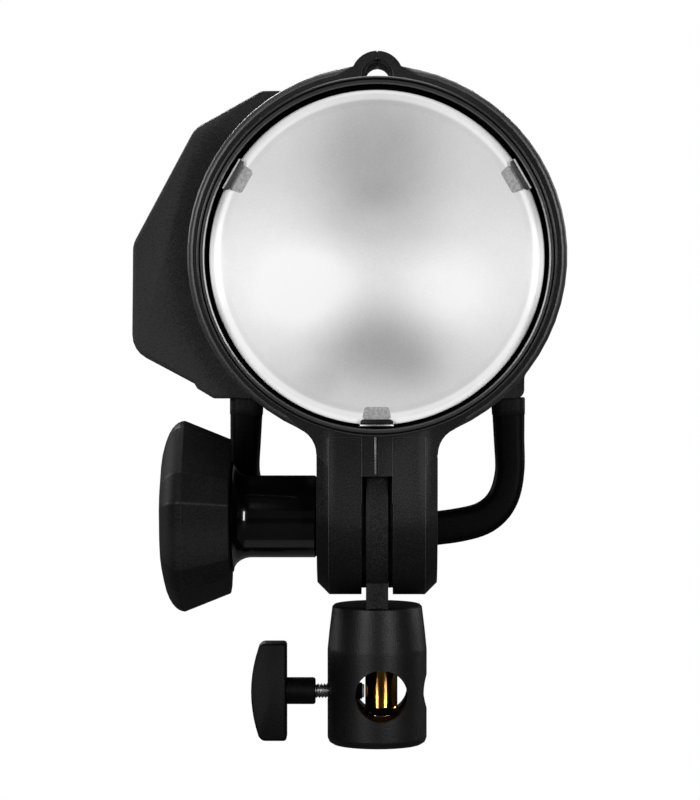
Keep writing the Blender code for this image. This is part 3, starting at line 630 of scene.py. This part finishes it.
def plate(name, outline, low, high, facing, looks, centre, edge):
    """A flat piece cut to an outline, with rounded edges."""
    across, up, along = AXES[facing]
    levels = [(inward, low + h * edge) for inward, h in ((1, 0), (0.3, 0.3), (0, 1))]
    levels += [(inward, low + high - h) for inward, h in reversed(levels)]
    rows = [
        [(Vector(centre) + across * p.x + up * p.y + along * h) * MM for p in outset(outline, -inward * edge)]
        for inward, h in levels
    ]
    return new_piece(name, as_mesh(name, grid_surface(rows)), looks)


def carved(piece, *cutters):
    """Cuts holes right through a finished piece."""
    for cutter in cutters:
        cut = piece.modifiers.new("cut", "BOOLEAN")
        cut.operation = "DIFFERENCE"
        cut.solver = "EXACT"
        cut.object = cutter
    bpy.context.view_layer.update()
    solid = piece.evaluated_get(bpy.context.evaluated_depsgraph_get())
    mesh = bpy.data.meshes.new_from_object(solid)
    piece.modifiers.clear()
    piece.data = mesh
    for cutter in cutters:
        bpy.data.objects.remove(cutter, do_unlink=True)
    mesh.shade_smooth()
    mesh.set_sharp_from_angle(angle=radians(32))
    return piece


def drill(radius, centre, facing, low, high):
    """A cutter for a round hole from low to high along its axis."""
    return lathe("drill", [(radius, low), (radius, high)], centre, facing, ["cast_bore"], 96)


def from_axis(face):
    """How far a face's middle is from the head's axis, in millimetres."""
    return (face.center - Vector((0, face.center.y, HEAD_Z * MM))).length / MM


# ---------------------------------------------------------------- head

# points on the axes that pieces are turned about
AXIS = (0, 0, HEAD_Z)
# the photograph shows the glass and its clips hanging a little low in the rim
GLASS_AXIS = (0, 0, HEAD_Z - 0.3)
# the tilt joint, and the bore for its bolt
PIVOT = (0, 0, TILT_Z)
PIVOT_BORE = 4.3


def front_rim():
    """The machined ring round the glass, with two fine grooves."""
    low, high = box_mm("front_rim")
    outer = (high.x - low.x) / 2
    front, back = -low.y, -high.y
    bore = outer - 2.4
    profile = [
        (outer, back, 0.15), (bore, back, 0.15), (bore, front - 0.45, 0.03), (bore + 0.4, front - 0.05, 0.03),
        (bore + 1.15, front, 0.08), (bore + 1.3, front - 0.45, 0.05), (bore + 1.6, front - 0.45, 0.05),
        (bore + 1.75, front, 0.08), (outer - 0.35, front, 0.05), (outer, front - 0.4, 0.05),
    ]
    looks = ["cast", "rim_painted_edge_highlight", "cast_bore", "rim_band"]
    edge, hollow, band = 1, 2, 3
    piece = lathe("front_rim_ring", rounded(profile, 0.1, 3, True), AXIS, "front", looks, 192, True)
    # the bore's front chamfer takes a painted highlight, the bore and grooves painted shade, and the front faces
    # painted light with painted shade at the top and bottom
    for face in piece.data.polygons:
        r = from_axis(face)
        if r < bore + 0.5:
            face.material_index = edge if face.normal.y < -0.3 else hollow
        elif -face.center.y / MM < front - 0.42 and r < outer - 0.1:
            face.material_index = hollow
        elif face.normal.y < -0.5:
            face.material_index = band
    settle(piece, "head", "cast", "front_rim")


def head_tube():
    """The tube that reflectors slide over, with turned lines round it near its mouth and its foot."""
    low, high = box_mm("head_tube")
    outer = (high.x - low.x) / 2
    front, back = -low.y, -high.y
    bore, groove = outer - 2.2, 0.35
    side = [(bore, back, 0.2), (bore, front, 0.2), (outer, front, 0.3)]
    for h in (front - 5.0, front - 7.5, front - 52.0):
        side += [(outer, h + groove, 0.1), (outer - groove, h, 0.1), (outer, h - groove, 0.1)]
    side += [(outer, back, 0.2)]
    piece = lathe("head_tube_skin", rounded(side, 0.1, 3, True), AXIS, "front", ["cast"], 192, True)
    settle(piece, "head", "cast", "head_tube")


def glass():
    """The frosted dome: a shallow crown that rolls over into a ground cylindrical edge."""
    low, high = box_mm("glass_cover")
    radius = (high.x - low.x) / 2
    crown, edge = -low.y, -high.y
    drop, corner, wall, steps = 3.4, 0.6, 2.6, 14
    outer = [(0, crown)]
    for k in range(1, steps + 1):
        r = (radius - corner) * k / steps
        outer.append((r, crown - drop * (r / radius) ** 2))
    r, h = outer[-1]
    outer[-1:] = [(r - 0.3, h + 0.04), (r - 0.12, h + 0.016), (r, h)]
    outer += [(r + corner * sin(radians(a)), h - corner * (1 - cos(radians(a)))) for a in (30, 50, 70, 90)]
    inner = [(r * 0.93, h - wall) for r, h in outer[:-6]]
    profile = outer + [(radius, edge + 0.4), (radius - 0.4, edge), (radius - wall, edge)] + inner[::-1]
    piece = lathe("glass_dome", profile, GLASS_AXIS, "front", ["frosted_glass"], 160, angle=50)
    settle(piece, "head", "frosted_glass", "glass_cover")


def lamp():
    """What shows faintly through the glass: spun dish, ring flash tube and the lamp's dome."""
    low, high = box_mm("reflector")
    outer, rim = (high.x - low.x) / 2, -low.y
    deep, throat, mouth, steps = 46.0, 20.0, outer - 2.0, 24
    curve = []
    for k in range(steps + 1):
        t = k / steps
        ripple = 0.12 * cos(k * pi)
        curve.append((throat + (mouth - throat) * t**0.6 + ripple, deep + (rim - 1.6 - deep) * t**1.5))
    back = [(r + 1.0, h - 0.5) for r, h in reversed(curve)]
    profile = curve + [(mouth, rim), (outer, rim), (outer, rim - 1.0)] + back
    dish = lathe("reflector_dish", profile, AXIS, "front", ["bare_aluminium", "cast_bore"], 96, True)
    # painted shade: the dish's outer flange takes the dark bore look, so that the gap round the glass is dark
    for face in dish.data.polygons:
        if from_axis(face) > outer - 1.9:
            face.material_index = 1
    settle(dish, "head", "bare_aluminium", "reflector")
    flash_ring()
    low, high = box_mm("modelling_lamp")
    top, bottom, wide = -low.y, -high.y, (high.x - low.x) / 2
    half, tall = 7.0, 6.0
    dome = [(0, top)]
    dome += [(half * sin(radians(a)), top - tall * (1 - cos(radians(a)))) for a in range(10, 91, 10)]
    dome += [(wide, top - tall - 0.6, 0.3), (wide, bottom, 0.3), (0, bottom)]
    bulb = lathe("modelling_lamp_dome", rounded(dome, 0, 2), AXIS, "front", ["ceramic"], 64)
    settle(bulb, "head", "ceramic", "modelling_lamp")


def flash_ring():
    """A glass tube bent into a ring that is open at its foot, where both its ends turn back."""
    low, high = box_mm("flash_tube")
    tube_r = 2.6
    ring_r = (high.x - low.x) / 2 - tube_r
    front, foot = -low.y - tube_r, -high.y
    gap, steps, lead = radians(16), 48, 3
    ring = []
    for k in range(steps + 1):
        a = gap + (2 * pi - 2 * gap) * k / steps
        ring.append((ring_r * sin(a), -front, HEAD_Z - ring_r * cos(a)))
    first, last = ring[0], ring[-1]
    path = [(first[0], -foot, first[2]), (first[0], -front + lead, first[2])] + ring
    path += [(last[0], -front + lead, last[2]), (last[0], -foot, last[2])]
    settle(tube("flash_tube_ring", path, tube_r, ["quartz"]), "head", "quartz", "flash_tube")


def yoke():
    """The split collar with its cheeks, the washers and the screws."""
    front_face, corner_radius = -25.6, 62.1

    def outer_corner(p):
        return abs(p.y - front_face) < 0.02 and abs(sqrt(p.x**2 + (p.z - HEAD_Z) ** 2) - corner_radius) < 0.05

    # the collar's rounded edges and its rounded outer band take painted highlights
    for side in ("left", "right"):
        refine(f"collar_{side}", 0.45, 3, 28, "cast_painted_edge_highlight", (outer_corner, 1.9), "cheek_cast", "cast_painted_band_highlight")
    # small enough that the notch beside the tongue shows, as in the photograph
    washer, tongue, notch = 23.8, 3.7, 5.2
    for side, sign in (("left", 1), ("right", -1)):
        near, far = sorted((sign * (tongue + 0.04), sign * (notch - 0.02)))
        ring = [(PIVOT_BORE, near), (PIVOT_BORE, far), (washer, far, 0.15), (washer, near, 0.15)]
        profile = rounded(ring, 0, 2, True)
        disc = lathe(f"washer_{side}", profile, PIVOT, "left", ["black_steel"], 96, True)
        settle(disc, "head", "black_steel", f"friction_washer_{side}")
    split()
    refine("tilt_bolt", 0.25)
    refine("yoke_screw_front", 0.2)
    refine("yoke_screw_rear", 0.2)


def split():
    """The dark joint between the collar's halves, capped at its top, and a painted highlight strip down its front.
    """
    low, high = box_mm("collar_left")
    front, back = low.y + 0.6, high.y - 0.8
    collar_top, collar_bottom = HEAD_Z + 62.9, HEAD_Z - 55.2
    foot = 91.4
    for name, bottom, top in (("upper", collar_top, high.z - 0.9), ("lower", foot, collar_bottom)):
        strip = slab(f"split_strip_{name}", (-0.17, front, bottom), (0.17, back, top), ["cast_bore"], 0.05, 1)
        settle(strip, "head", "cast")
    cap = slab("split_cap", (-0.6, front, high.z - 1.3), (0.6, back, high.z - 0.3), ["cast"], 0.25, 3)
    settle(cap, "head", "cast")
    # a thin strip painted light down the front of the split stands in for the highlight on its edge
    start, end = (-0.85, low.y - 0.06, foot + 0.5), (-0.3, low.y + 0.5, HEAD_Z - 57)
    lip = slab("split_painted_highlight", start, end, ["lip_edge"], 0.12, 2)
    settle(lip, "head", "cast")


def sleeve():
    """The glossy sleeve of the tilt lock, which flares out to its wide end in a quarter round."""
    low, high = box_mm("tilt_sleeve")
    outer_end, inner_end = -low.x, -high.x
    body, wide, steps = 13.7, (high.z - low.z) / 2, 12
    flare = []
    for k in range(steps + 1):
        a = radians(90 * k / steps)
        flare.append((body + (wide - body) * (1 - sin(a)), outer_end - 0.5 - 6.1 * (1 - cos(a))))
    profile = [(PIVOT_BORE, inner_end, 0.2), (PIVOT_BORE, outer_end, 0.2), (wide - 0.15, outer_end, 0.12)]
    profile += flare + [(body, inner_end + 0.6, 0.2), (body - 0.5, inner_end, 0.2)]
    shape = rounded(profile, 0, 3, True)
    piece = lathe("tilt_sleeve_skin", shape, PIVOT, "left", ["sleeve_gloss"], 128, True)
    settle(piece, "tilt_sleeve", "sleeve_gloss", "tilt_sleeve")


def tilt_knob():
    """Six broad flats and six narrow ridges round a cone, a crisp rim and a crowned end."""
    first_ridge, half_ridge = -68.3, 9.5
    corners = [radians(60 * k + first_ridge + half) for k in range(6) for half in (-half_ridge, half_ridge)]
    section = rounded([(cos(a), sin(a)) for a in corners], 0.05, 3, True)
    circle = [Vector(point).normalized() for point in section]
    back, rim, crown = 48.7, 64.2, 72.4
    narrow, widest = 26.1, 32.0
    hole, hole_end = 6.9, 62.5
    rings = [(narrow - 0.8, back), (narrow - 0.2, back + 0.25), (narrow, back + 0.8)]
    rings += [(narrow + (widest - 26.2) * t, back + 0.8 + (rim - back - 1.1) * t) for t in (0.33, 0.66, 1)]
    rings += [(widest, rim)]
    for degrees in (6, 14, 22, 31, 40, 50, 60, 70, 78, 84):
        a = radians(degrees)
        rings.append((widest * cos(a) ** 0.55, rim + (crown - rim) * sin(a)))
    across, up, along = AXES["left"]

    # the outline's first axis is up and its second is back, so that the flats face where they do in the solid
    def row(outline, reach, h):
        return [(Vector(PIVOT) + up * x * reach + across * y * reach + along * h) * MM for x, y in outline]

    rows = [row(circle, hole, hole_end), row(circle, hole, back)] + [row(section, r, h) for r, h in rings]
    looks = ["knob_plastic", "knob_painted_edge_highlight"]
    piece = new_piece("tilt_knob_lobed", as_mesh("tilt_knob_lobed", grid_surface(rows)), looks, 24)
    # a corner of the section has three faces and the side after it one; corners and rim take painted highlight
    # lines
    for face in piece.data.polygons:
        row_number, column = divmod(face.index, len(section))
        if column % 4 != 3 and 2 <= row_number <= 13 or row_number == 7:
            face.material_index = 1
    settle(piece, "tilt_knob", "knob_plastic", "tilt_knob")


def knobs():
    tilt_knob()
    refine("knob_insert", 0.2)
    wing = refine("clamp_knob", 0.35, 3, 30, None, None, "wing_plastic", "rubber")
    hub_start = -33.4
    for face in wing.data.polygons:
        if face.center.x > hub_start * MM:
            face.material_index = 1
    refine("clamp_pad", 0.15, look="pad_steel")


def adapter():
    """The barrel, bored upwards for the spigot and across for its windows and the clamp screw."""
    low, high = box_mm("stand_adapter")
    radius, top = (high.x - low.x) / 2, 46.8
    spigot_low, spigot_high = box_mm("brass_spigot")
    socket_x, spigot_r = (spigot_low.x + spigot_high.x) / 2, (spigot_high.x - spigot_low.x) / 2
    socket_top, window, side_window, screw_bore = 39.3, 8.6, 5.8, 2.75
    profile = [
        (0, top), (radius - 2.3, top, 0.25), (radius - 1.6, top - 0.7, 0.3), (radius - 0.6, top - 9, 12),
        (radius, top - 15, 14), (radius, 2.2, 1.5), (radius - 0.6, 0.8, 0.8), (radius - 1.9, 0, 0.4), (0, 0),
    ]
    looks = ["barrel_cast", "cast_bore"]
    barrel = lathe("adapter_barrel", rounded(profile, 0.3, 5), (0, 0, 0), "up", looks, 128)
    carved(
        barrel,
        drill(spigot_r + 0.3, (socket_x, 0, 0), "up", -5, socket_top),
        drill(window, (socket_x, 0, CLAMP_Z), "front", -30, 30),
        drill(side_window, (0, 0, CLAMP_Z), "left", -30, -5),
        drill(screw_bore, (0, 0, CLAMP_Z), "left", 5, 30),
    )
    settle(barrel, "stand", "cast", "stand_adapter")
    tongue()


def tongue():
    """The tongue on the barrel: a round plate about the tilt axis, with straight sides down to its foot."""
    half, reach, start, foot, steps = 3.7, 25.5, radians(-56), 40.0, 64
    outline = []
    for k in range(steps + 1):
        a = start + (pi - 2 * start) * k / steps
        outline.append((reach * cos(a), TILT_Z + reach * sin(a)))
    outline += [(-reach * cos(start), foot), (reach * cos(start), foot)]
    piece = plate("adapter_tongue", outline, -half, half, "left", ["cast"], (0, 0, 0), 0.35)
    carved(piece, drill(PIVOT_BORE, PIVOT, "left", -30, 30))
    settle(piece, "stand", "cast")


def clamp_screw():
    """The clamp screw with its running thread."""
    low, high = box_mm("clamp_screw")
    start, end = -high.x, -low.x
    radius, pitch, depth, run_out = (high.z - low.z) / 2, 1.0, 0.42, 1.2
    steps, rows_per_turn = 40, 10
    count = int((end - start) / pitch * rows_per_turn)
    across, up, along = AXES["left"]
    centre = Vector((0, 0, CLAMP_Z))
    rows = []
    for i in range(count + 1):
        h = start + (end - start) * i / count
        row = []
        for k in range(steps):
            a = 2 * pi * k / steps
            wave = abs(((h / pitch - k / steps) % 1) * 2 - 1)
            ease = min(1, (h - start) / run_out, (end - h) / run_out)
            r = radius - depth * max(0, min(1, wave * 1.5 - 0.25)) * (0.3 + 0.7 * ease) - (1 - ease) * 0.4
            row.append((centre + across * (r * cos(a)) + up * (r * sin(a)) + along * h) * MM)
        rows.append(row)
    piece = new_piece("clamp_screw_thread", as_mesh("clamp_screw_thread", grid_surface(rows)), ["steel"], 60)
    settle(piece, "clamp_knob", "steel", "clamp_screw")


def spigot():
    """The brass spigot, with a waist, a turned line on its flange and a threaded hole in its foot."""
    low, high = box_mm("brass_spigot")
    x = (low.x + high.x) / 2
    radius = (high.x - low.x) / 2
    waist, thread, root = 5.4, 4.3, 3.9
    profile = [
        (0, high.z), (radius - 0.8, high.z, 0.3), (radius, high.z - 0.8, 0.3), (radius, 28.6, 0.4),
        (waist, 26.4, 0.8), (waist, 12.5, 0.9), (waist + 1.3, 11.3, 0.3), (radius - 0.5, 10.8, 0.2),
        (radius, 10.3, 0.2), (radius, 9.3, 0.1), (radius - 0.3, 9.1, 0.1), (radius, 8.9, 0.1),
        (radius, low.z + 0.7, 0.3), (radius - 0.7, low.z, 0.3), (thread + 0.1, low.z, 0.1),
    ]
    top, bottom, turns = 13.0, low.z + 0.3, 8
    for k in range(turns):
        h = bottom + (top - bottom) * k / turns
        profile += [(thread, h + 0.2), (root, h + 0.9)]
    profile += [(thread, top), (0, 15.0)]
    piece = lathe("brass_spigot_skin", rounded(profile, 0, 3), (x, 0, 0), "up", ["brass"], 96)
    settle(piece, "stand", "brass", "brass_spigot")


def clips():
    """Spring clips folded round the edge of the glass, each with a tab that shows through the frost."""
    web = [(50.65, -5.1), (51.2, -5.1), (51.2, 5.1), (50.65, 5.1)]
    lip = [(49.1, -4.3), (49.6, -5.0), (50.7, -5.0), (50.7, 5.0), (49.6, 5.0), (49.1, 4.3)]
    tab = rounded([(45.2, -3.7), (49.3, -4.4), (49.3, 4.4), (45.2, 3.7)], 1.1, 4, True)
    web_back, clip_without_painted_light = 102.0, 3
    for number in (1, 2, 3):
        low, high = box_mm(f"glass_clip_{number}")
        front = -low.y
        middle = (low + high) / 2
        angle = atan2(middle.z - HEAD_Z, middle.x)
        # the third clip keeps plain metal looks; the others take a painted highlight on their webs and painted
        # light on their lips
        looks = ("clip_metal", "black_steel") if number == clip_without_painted_light else ("clip_painted_web_highlight", "clip_lip")
        pieces = [
            clip_plate(f"clip_web_{number}", web, web_back, front + 0.15, angle, looks[0], 0.08),
            clip_plate(f"clip_lip_{number}", lip, front - 0.6, front + 0.05, angle, looks[1], 0.1),
            clip_plate(f"clip_tab_{number}", tab, front - 1.9, front - 1.1, angle, "clip_tab", 0.15),
        ]
        for piece in pieces[1:]:
            settle(piece, "head", "clip_metal")
        settle(pieces[0], "head", "clip_metal", f"glass_clip_{number}")


def clip_plate(name, outline, low, high, angle, look, edge):
    """A plate drawn as (outwards, round) about the head's axis and turned into place."""
    turned = [(r * cos(angle) - t * sin(angle), r * sin(angle) + t * cos(angle)) for r, t in outline]
    return plate(name, turned, low, high, "front", [look], GLASS_AXIS, edge)


def housing():
    """The casing behind the collar, the battery and everything on the rear panel."""
    refine("front_cover", 0.5, 3, 26, "plastic_edge", look="cover_plastic")
    for half in ("top", "bottom"):
        refine(f"housing_{half}", 0.45, 3, 26, "plastic_edge")
    refine("battery_dock", 0.4, 2, 30)
    refine("rear_panel", 0.6, 3, 30, "plastic_edge")
    refine("battery_case", 0.9, 4, 26, "plastic_edge")
    refine("battery_latch", 0.3, 2, 30)
    grille()
    dock_seals()
    for node in ("fan_frame", "fan_rotor", "port_cover", "display_window"):
        refine(node, 0.3, 2, 30)
    for number in (1, 2, 3, 4):
        refine(f"panel_screw_{number}", 0.15, 2, 30)
        button(f"button_{number}")
    dial()
    refine("sync_socket", 0.15, 2, 30)
    latch_ribs()


def dial():
    """The settings dial, knurled round its side, with a shallow dish in its face."""
    low, high = box_mm("control_dial")
    middle = (low + high) / 2
    radius, stem = (high.x - low.x) / 2, 3.0
    foot, face = box_mm("rear_panel")[1].y + 0.3, high.y

    def knurl(r, h, a):
        depth, ridges = 0.22, 40
        return r + (depth * cos(ridges * a) - depth if r > radius - 0.9 and h > foot + 1.6 else 0)

    profile = [
        (0, low.y), (stem, low.y, 0.1), (stem, foot, 0.1), (radius, foot, 0.2), (radius, foot + 1.4, 0.1),
        (radius - 0.3, foot + 1.8, 0.1), (radius - 0.6, face - 1.0, 0.2), (radius - 1.2, face, 0.3),
        (radius - 2.6, face, 0.3), (radius - 3.4, face - 0.5, 0.5), (0, face - 0.7),
    ]
    centre = (middle.x, 0, middle.z)
    piece = lathe("control_dial_grip", rounded(profile, 0, 3), centre, "back", ["rubber"], 240, False, knurl)
    settle(piece, body_of_node["control_dial"], "rubber", "control_dial")


def button(name):
    """A push button with a raised lip round a shallow dish."""
    low, high = box_mm(name)
    middle = (low + high) / 2
    flange = (high.x - low.x) / 2
    r, step, top = flange - 1.2, low.y + 2.4, high.y
    profile = [
        (0, low.y), (flange, low.y, 0.1), (flange, step, 0.2), (r, step, 0.1), (r, top - 0.1, 0.5),
        (r - 1.0, top, 0.3), (r - 1.5, top - 0.45, 0.4), (0, top - 0.6),
    ]
    piece = lathe(f"{name}_cap", rounded(profile, 0, 3), (middle.x, 0, middle.z), "back", ["rubber"], 48)
    settle(piece, body_of_node[name], "rubber", name)


def grille():
    """The fan's grille: a disc with nine slots."""
    low, high = box_mm("vent_grille")
    x, z = (low.x + high.x) / 2, (low.z + high.z) / 2
    radius, pitch, half = (high.x - low.x) / 2, 3.6, 1.1
    profile = [(0, low.y), (radius, low.y, 0.2), (radius, high.y, 0.5), (0, high.y)]
    disc = lathe("vent_grille_disc", rounded(profile, 0, 3), (x, 0, z), "back", ["plastic"], 96)
    slots = []
    for k in range(-4, 5):
        reach, middle = sqrt((radius - 2.5) ** 2 - (pitch * k) ** 2), z + pitch * k
        start, end = (x - reach, low.y - 3, middle - half), (x + reach, high.y + 3, middle + half)
        slots.append(slab(f"slot_{k + 5}", start, end, ["plastic"], 1.0, 4))
    settle(carved(disc, *slots), "head", "plastic", "vent_grille")


def dock_seals():
    """Dark strips that close the gap between the battery and the housing, above and below."""
    battery_side, housing_side = box_mm("battery_case")[1].x, box_mm("rear_panel")[0].x
    for name, z in (("top", 217.2), ("bottom", 118.2)):
        low, high = (battery_side + 0.15, 60, z), (housing_side - 0.12, 171.5, z + 1.7)
        settle(slab(f"dock_seal_{name}", low, high, ["cast_bore"], 0.15, 2), "head", "rubber")


def latch_ribs():
    """Four ribs across the battery latch for a finger."""
    low, high = box_mm("battery_latch")
    pitch = 1.55
    for k in range(4):
        z = low.z + 1.7 + pitch * k
        start, end = (low.x + 1.6, high.y - 0.6, z), (high.x - 1.6, high.y + 0.35, z + 0.7)
        rib = slab(f"latch_rib_{k}", start, end, ["rubber"], 0.25)
        settle(rib, body_of_node["battery_latch"], "rubber")


def handle():
    """The U-shaped grip: a rounded bar, a little slimmer below its two moulded sockets."""
    low, high = box_mm("handle")
    y = (low.y + high.y) / 2
    half_x, half_y, corner = 5.7, (high.y - low.y) / 2, 3.2
    reach, bottom = high.x - half_x, low.z + half_x
    # one side, from the socket down and inwards to the middle of the bar, with its thickness at each point
    points = [
        (reach, high.z, 1.0), (reach + 0.4, high.z - 13.7, 0.92), (reach + 0.6, high.z - 25.7, 0.88),
        (reach - 1.9, bottom + 11, 0.92), (reach - 7.7, bottom + 5, 0.97), (reach - 16.8, bottom + 2.2, 1.0),
        (reach - 30.3, bottom + 0.6, 1.0), (0, bottom, 1.0),
    ]
    bar = [(x, y, z) for x, z, size in points]
    bar += [(-x, y, z) for x, y, z in reversed(bar[:-1])]
    slim = [size for x, z, size in points]
    steps = 6
    thick = [a + (b - a) * k / steps for a, b in zip(slim, slim[1:]) for k in range(steps)]
    thick += [1.0] + thick[::-1]
    outline = [(-half_x, -half_y), (half_x, -half_y), (half_x, half_y), (-half_x, half_y)]
    section = rounded(outline, corner, 5, True)
    grip = swept_bar("handle_grip", smooth_path(bar, steps), section, thick, ["rubber"])
    settle(grip, "head", "rubber", "handle")
    # (outwards, down, size) along a socket, which is a little wider where it meets the casing
    run = ((0, 0.1, 1.015), (0.1, 3.5, 1.0), (0.15, 5.6, 0.99), (0.16, 6.0, 0.94))
    for side, name in ((-1, "left"), (1, "right")):
        path = [(side * (reach + lean), y, high.z - drop) for lean, drop, size in run]
        sizes = [size for lean, drop, size in run]
        socket = swept_bar(f"handle_socket_{name}", path, section, sizes, ["knob_plastic"])
        settle(socket, "head", "plastic")
    face = y - half_y * 0.92
    start, end = (-reach - 1.0, face - 0.03, high.z - 24), (-reach - 0.2, face + 1.0, high.z - 8)
    settle(slab("handle_seam", start, end, ["cast_bore"], 0.25), "head", "rubber")


front_rim()
head_tube()
glass()
lamp()
yoke()
sleeve()
knobs()
adapter()
clamp_screw()
spigot()
clips()
housing()
handle()

# the solids that no piece stands in for show their own looks
for name, node in nodes.items():
    if not node.hide_render:
        node.data.materials.clear()
        node.data.materials.append(LOOKS[slot_of_node[name]])


# ---------------------------------------------------------------- studio


# well below the part, which a stand would carry
FLOOR_Z = -0.4


def area(name, place, target, size, power):
    data = bpy.data.lights.new(name, "AREA")
    data.shape = "RECTANGLE"
    data.size, data.size_y = size
    data.energy = power
    light = new_object(name, data)
    light.location = place
    light.rotation_euler = (Vector(target) - Vector(place)).to_track_quat("-Z", "Y").to_euler()


def studio():
    """The floor, the room and the lights. The faintest light lies below the part and lifts its underside."""
    shape = bmesh.new()
    bmesh.ops.create_grid(shape, x_segments=1, y_segments=1, size=20)
    floor = new_object("floor", as_mesh("floor", shape))
    floor.location.z = FLOOR_Z
    floor.data.materials.append(pale_floor())
    surroundings()
    middle = (0, 0, 0.13)
    area("front_left", (-0.9, -1.6, 0.4), middle, (0.27, 1.0), 19.3)
    area("front_right", (0.95, -1.6, 0.35), middle, (0.25, 1.0), 18)
    area("side_left", (-2.2, 1.1, 0.8), middle, (0.5, 1.3), 24)
    area("side_right", (2.2, 1.1, 0.8), middle, (0.5, 1.3), 19)
    area("table_strip", (0, -0.09, -0.38), (0, 0, 0.07), (0.3, 0.22), 0.04)
    area("top", (0, 0.3, 1.9), middle, (1.2, 0.8), 22)
    area("back_left", (-0.7, 2.0, 1.5), middle, (0.7, 0.9), 36)
    area("back_right", (0.7, 2.0, 1.5), middle, (0.7, 0.9), 36)


def seen_or_lit(tree, seen, lit):
    """One shader for what the camera sees directly and another for all other rays."""
    path = tree.nodes.new("ShaderNodeLightPath")
    choose = tree.nodes.new("ShaderNodeMixShader")
    tree.links.new(path.outputs["Is Camera Ray"], choose.inputs["Fac"])
    tree.links.new(lit, choose.inputs[1])
    tree.links.new(seen, choose.inputs[2])
    return choose.outputs[0]


def pale_floor():
    """A floor that looks white and is dark to the part above it, so that it lights nothing from below."""
    look = Nodes("pale_floor", grey(0.025), 0.9)
    look.colours(look.noise(900, 2.0), [(0.3, grey(0.022)), (0.7, grey(0.028))])
    white = look.add("Emission", Color=WHITE)
    output = look.tree.nodes["Material Output"]
    shaded = seen_or_lit(look.tree, white.outputs[0], look.shader.outputs[0])
    look.link(shaded, output.inputs["Surface"])
    return look.material


def surroundings():
    """A white sweep to look at, in a room that gives the black parts little to reflect."""
    world = bpy.data.worlds.new("studio")
    bpy.context.scene.world = world
    world.use_nodes = True
    tree = world.node_tree
    seen = tree.nodes["Background"]
    lit = tree.nodes.new("ShaderNodeBackground")
    for shader, strength in ((seen, 1.0), (lit, 0.05)):
        shader.inputs["Color"].default_value = WHITE
        shader.inputs["Strength"].default_value = strength
    shaded = seen_or_lit(tree, seen.outputs[0], lit.outputs[0])
    tree.links.new(shaded, tree.nodes["World Output"].inputs["Surface"])


def camera():
    """Level with the head and a long lens away, turned a little down and to the left."""
    data = bpy.data.cameras.new("camera")
    data.lens, data.sensor_width = 162, 36
    made = new_object("camera", data)
    distance, down, left = 1.2, 2.556, 0.51
    made.location = (0.0016, -distance, 0.1687)
    made.rotation_euler = (radians(90 - down), 0, radians(left))
    bpy.context.scene.camera = made


studio()
camera()
bpy.context.scene.view_settings.view_transform = "Standard"
